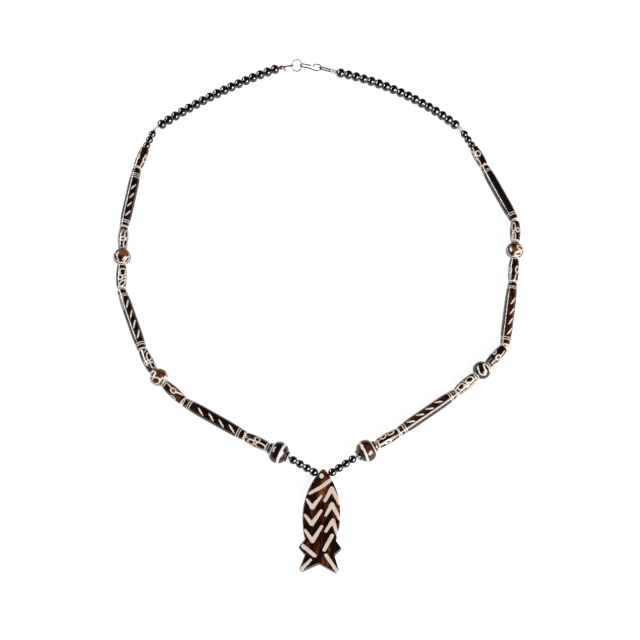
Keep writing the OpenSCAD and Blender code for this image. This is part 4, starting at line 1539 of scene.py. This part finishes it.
class NECKLACE_OT_fish(Operator):
    """Make the flat bone fish with its bare lines, rounded edges and thread hole"""

    bl_idname = "necklace.fish"
    bl_label = "Fish"

    def execute(self, context):
        loop = fish_outline()
        flat, faces, rim = fish_face(loop)
        edge = fish().edge_round / MM
        inner = np.minimum(outline_distance(flat, loop), edge)
        drop = edge - np.sqrt(np.maximum(edge**2 - (edge - inner) ** 2, 0))
        rng = np.random.default_rng(FISH_SEED)
        across = np.sin(0.35 * flat[:, 0] + rng.uniform(0, 6))
        down = np.cos(0.21 * flat[:, 1] + rng.uniform(0, 6))
        swell = FISH_SWELL * (0.5 + 0.5 * across * down)
        top = np.column_stack([flat, fish().thickness / MM - drop - swell * (inner / edge)])
        bottom = np.column_stack([flat, drop])
        count = len(flat)
        all_faces = faces + [[v + count for v in face[::-1]] for face in faces]
        for a, b in zip(rim, rim[1:] + rim[:1]):
            all_faces.append((a, b, b + count, a + count))
        points = np.concatenate([top, bottom])
        line, warm = fish_pattern(points[:, 0], points[:, 1])
        attributes = [("line", line), ("warm", warm), ("local", points)]
        piece = add_mesh("finished_fish_pendant", fish_place(points), all_faces, attributes)
        drill(piece, beads().bore / MM / 2)
        hand_over(piece, "fish_pendant", "fish_bone")
        return {"FINISHED"}


# Stage. The softboxes: name, azimuth, elevation, and width and height in metres
SOFTBOXES = [("left", 157, 31, 0.8, 0.11), ("right", -43, 31, 0.9, 0.46)]
SOFTBOX_DISTANCE = 0.95
# The room's light falls off upwards: from the level, to this height, brightness there and at the level
ROOM_LIGHT = (0.0, 0.7, 0.2, 0.012)
FLOOR_REACH = 2000.0
FLOOR_DROP = 0.02
SENSOR = 36.0


def direction_to_euler(direction):
    """Rotation of a light or camera that looks along -direction, its top up."""
    return Vector(-direction).to_track_quat("-Z", "Y").to_euler()


def put_in_scene(data, direction, location):
    """A light or camera there, looking along -direction."""
    thing = bpy.data.objects.new(data.name, data)
    thing.location = location
    thing.rotation_euler = direction_to_euler(direction)
    bpy.context.scene.collection.objects.link(thing)
    return thing


def add_softbox(name, azimuth, elevation, width, height, power):
    light = bpy.data.lights.new(name, "AREA")
    light.shape = "RECTANGLE"
    light.size = width
    light.size_y = height
    light.energy = power
    direction = aim(azimuth, elevation)
    put_in_scene(light, direction, direction * SOFTBOX_DISTANCE)


def add_camera(settings):
    camera = bpy.data.cameras.new("camera")
    camera.sensor_width = SENSOR
    camera.lens = settings.lens
    camera.clip_start = 0.01
    direction = aim(-90, math.degrees(settings.elevation))
    location = np.array([settings.aim_x, settings.aim_y, 0]) + direction * settings.distance
    bpy.context.scene.camera = put_in_scene(camera, direction, location)


def add_floor():
    quarters = ((-1, -1), (1, -1), (1, 1), (-1, 1))
    corners = [(x * FLOOR_REACH, y * FLOOR_REACH, -FLOOR_DROP) for x, y in quarters]
    floor = add_mesh("floor", corners, [range(4)])
    tree = NodeTree(bpy.data.materials.new("pale_floor"))
    mottle = tree.noise(tree.add("ShaderNodeTexCoord").outputs["Object"], 12.0, 3.0)
    pale = colours().floor
    tree.set(Base_Color=tree.mix(tree.ramp(mottle, 0.3, 0.7, 0.0, 0.3), pale, [0.97 * c for c in pale]))
    tree.set(Roughness=0.8, Specular_IOR_Level=0.1)
    tree.set(Emission_Color=(1.0, 1.0, 1.0), Emission_Strength=stage().floor_glow)
    floor.data.materials.append(tree.owner)


def room_light():
    """A dim room, darker overhead."""
    room = NodeTree(bpy.data.worlds.new("soft_room"), "Background")
    place = room.add("ShaderNodeTexCoord").outputs["Generated"]
    height = room.add("ShaderNodeSeparateXYZ", {0: place}).outputs["Z"]
    room.set(Strength=room.slope(height, *ROOM_LIGHT))
    return room.owner


class NECKLACE_OT_stage(Operator):
    """Make the pale floor, the soft light and the camera"""

    bl_idname = "necklace.stage"
    bl_label = "Stage"

    def execute(self, context):
        settings = stage()
        context.scene.view_settings.view_transform = "Standard"
        add_floor()
        for name, *box in SOFTBOXES:
            add_softbox(f"{name}_softbox", *box, getattr(settings, f"{name}_light"))
        context.scene.world = room_light()
        add_camera(settings)
        return {"FINISHED"}


OPERATORS = (
    NECKLACE_OT_fish, NECKLACE_OT_tube_beads, NECKLACE_OT_barrel_beads, NECKLACE_OT_round_beads,
    NECKLACE_OT_black_beads, NECKLACE_OT_glass_beads, NECKLACE_OT_clasp, NECKLACE_OT_thread,
    NECKLACE_OT_stage,
)


class NECKLACE_PT_panel(Panel):
    """Lists the pieces of the necklace"""

    bl_idname = "NECKLACE_PT_panel"
    bl_label = "Bone Bead Necklace"
    bl_space_type = "VIEW_3D"
    bl_region_type = "UI"
    bl_category = "Necklace"

    def draw(self, context):
        for operator in OPERATORS:
            self.layout.operator(operator.bl_idname)
        for settings in (beads(), fish(), clasp(), colours(), stage()):
            box = self.layout.box()
            for name in type(settings).__annotations__:
                box.prop(settings, name)


SETTINGS = {
    "necklace_beads": NecklaceBeadSizes,
    "necklace_fish": NecklaceFishSizes,
    "necklace_clasp": NecklaceClaspSizes,
    "necklace_colours": NecklaceColours,
    "necklace_stage": NecklaceStage,
}
CLASSES = (*SETTINGS.values(), *OPERATORS, NECKLACE_PT_panel)


def register():
    for cls in CLASSES:
        bpy.utils.register_class(cls)
    for name, group in SETTINGS.items():
        setattr(bpy.types.Scene, name, PointerProperty(type=group))


def unregister():
    for name in SETTINGS:
        delattr(bpy.types.Scene, name)
    for cls in reversed(CLASSES):
        bpy.utils.unregister_class(cls)


def main():
    register()
    bpy.ops.necklace.fish()
    bpy.ops.necklace.tube_beads()
    bpy.ops.necklace.barrel_beads()
    bpy.ops.necklace.round_beads()
    bpy.ops.necklace.black_beads()
    bpy.ops.necklace.glass_beads()
    bpy.ops.necklace.clasp()
    bpy.ops.necklace.thread()
    bpy.ops.necklace.stage()


if __name__ == "__main__":
    main()
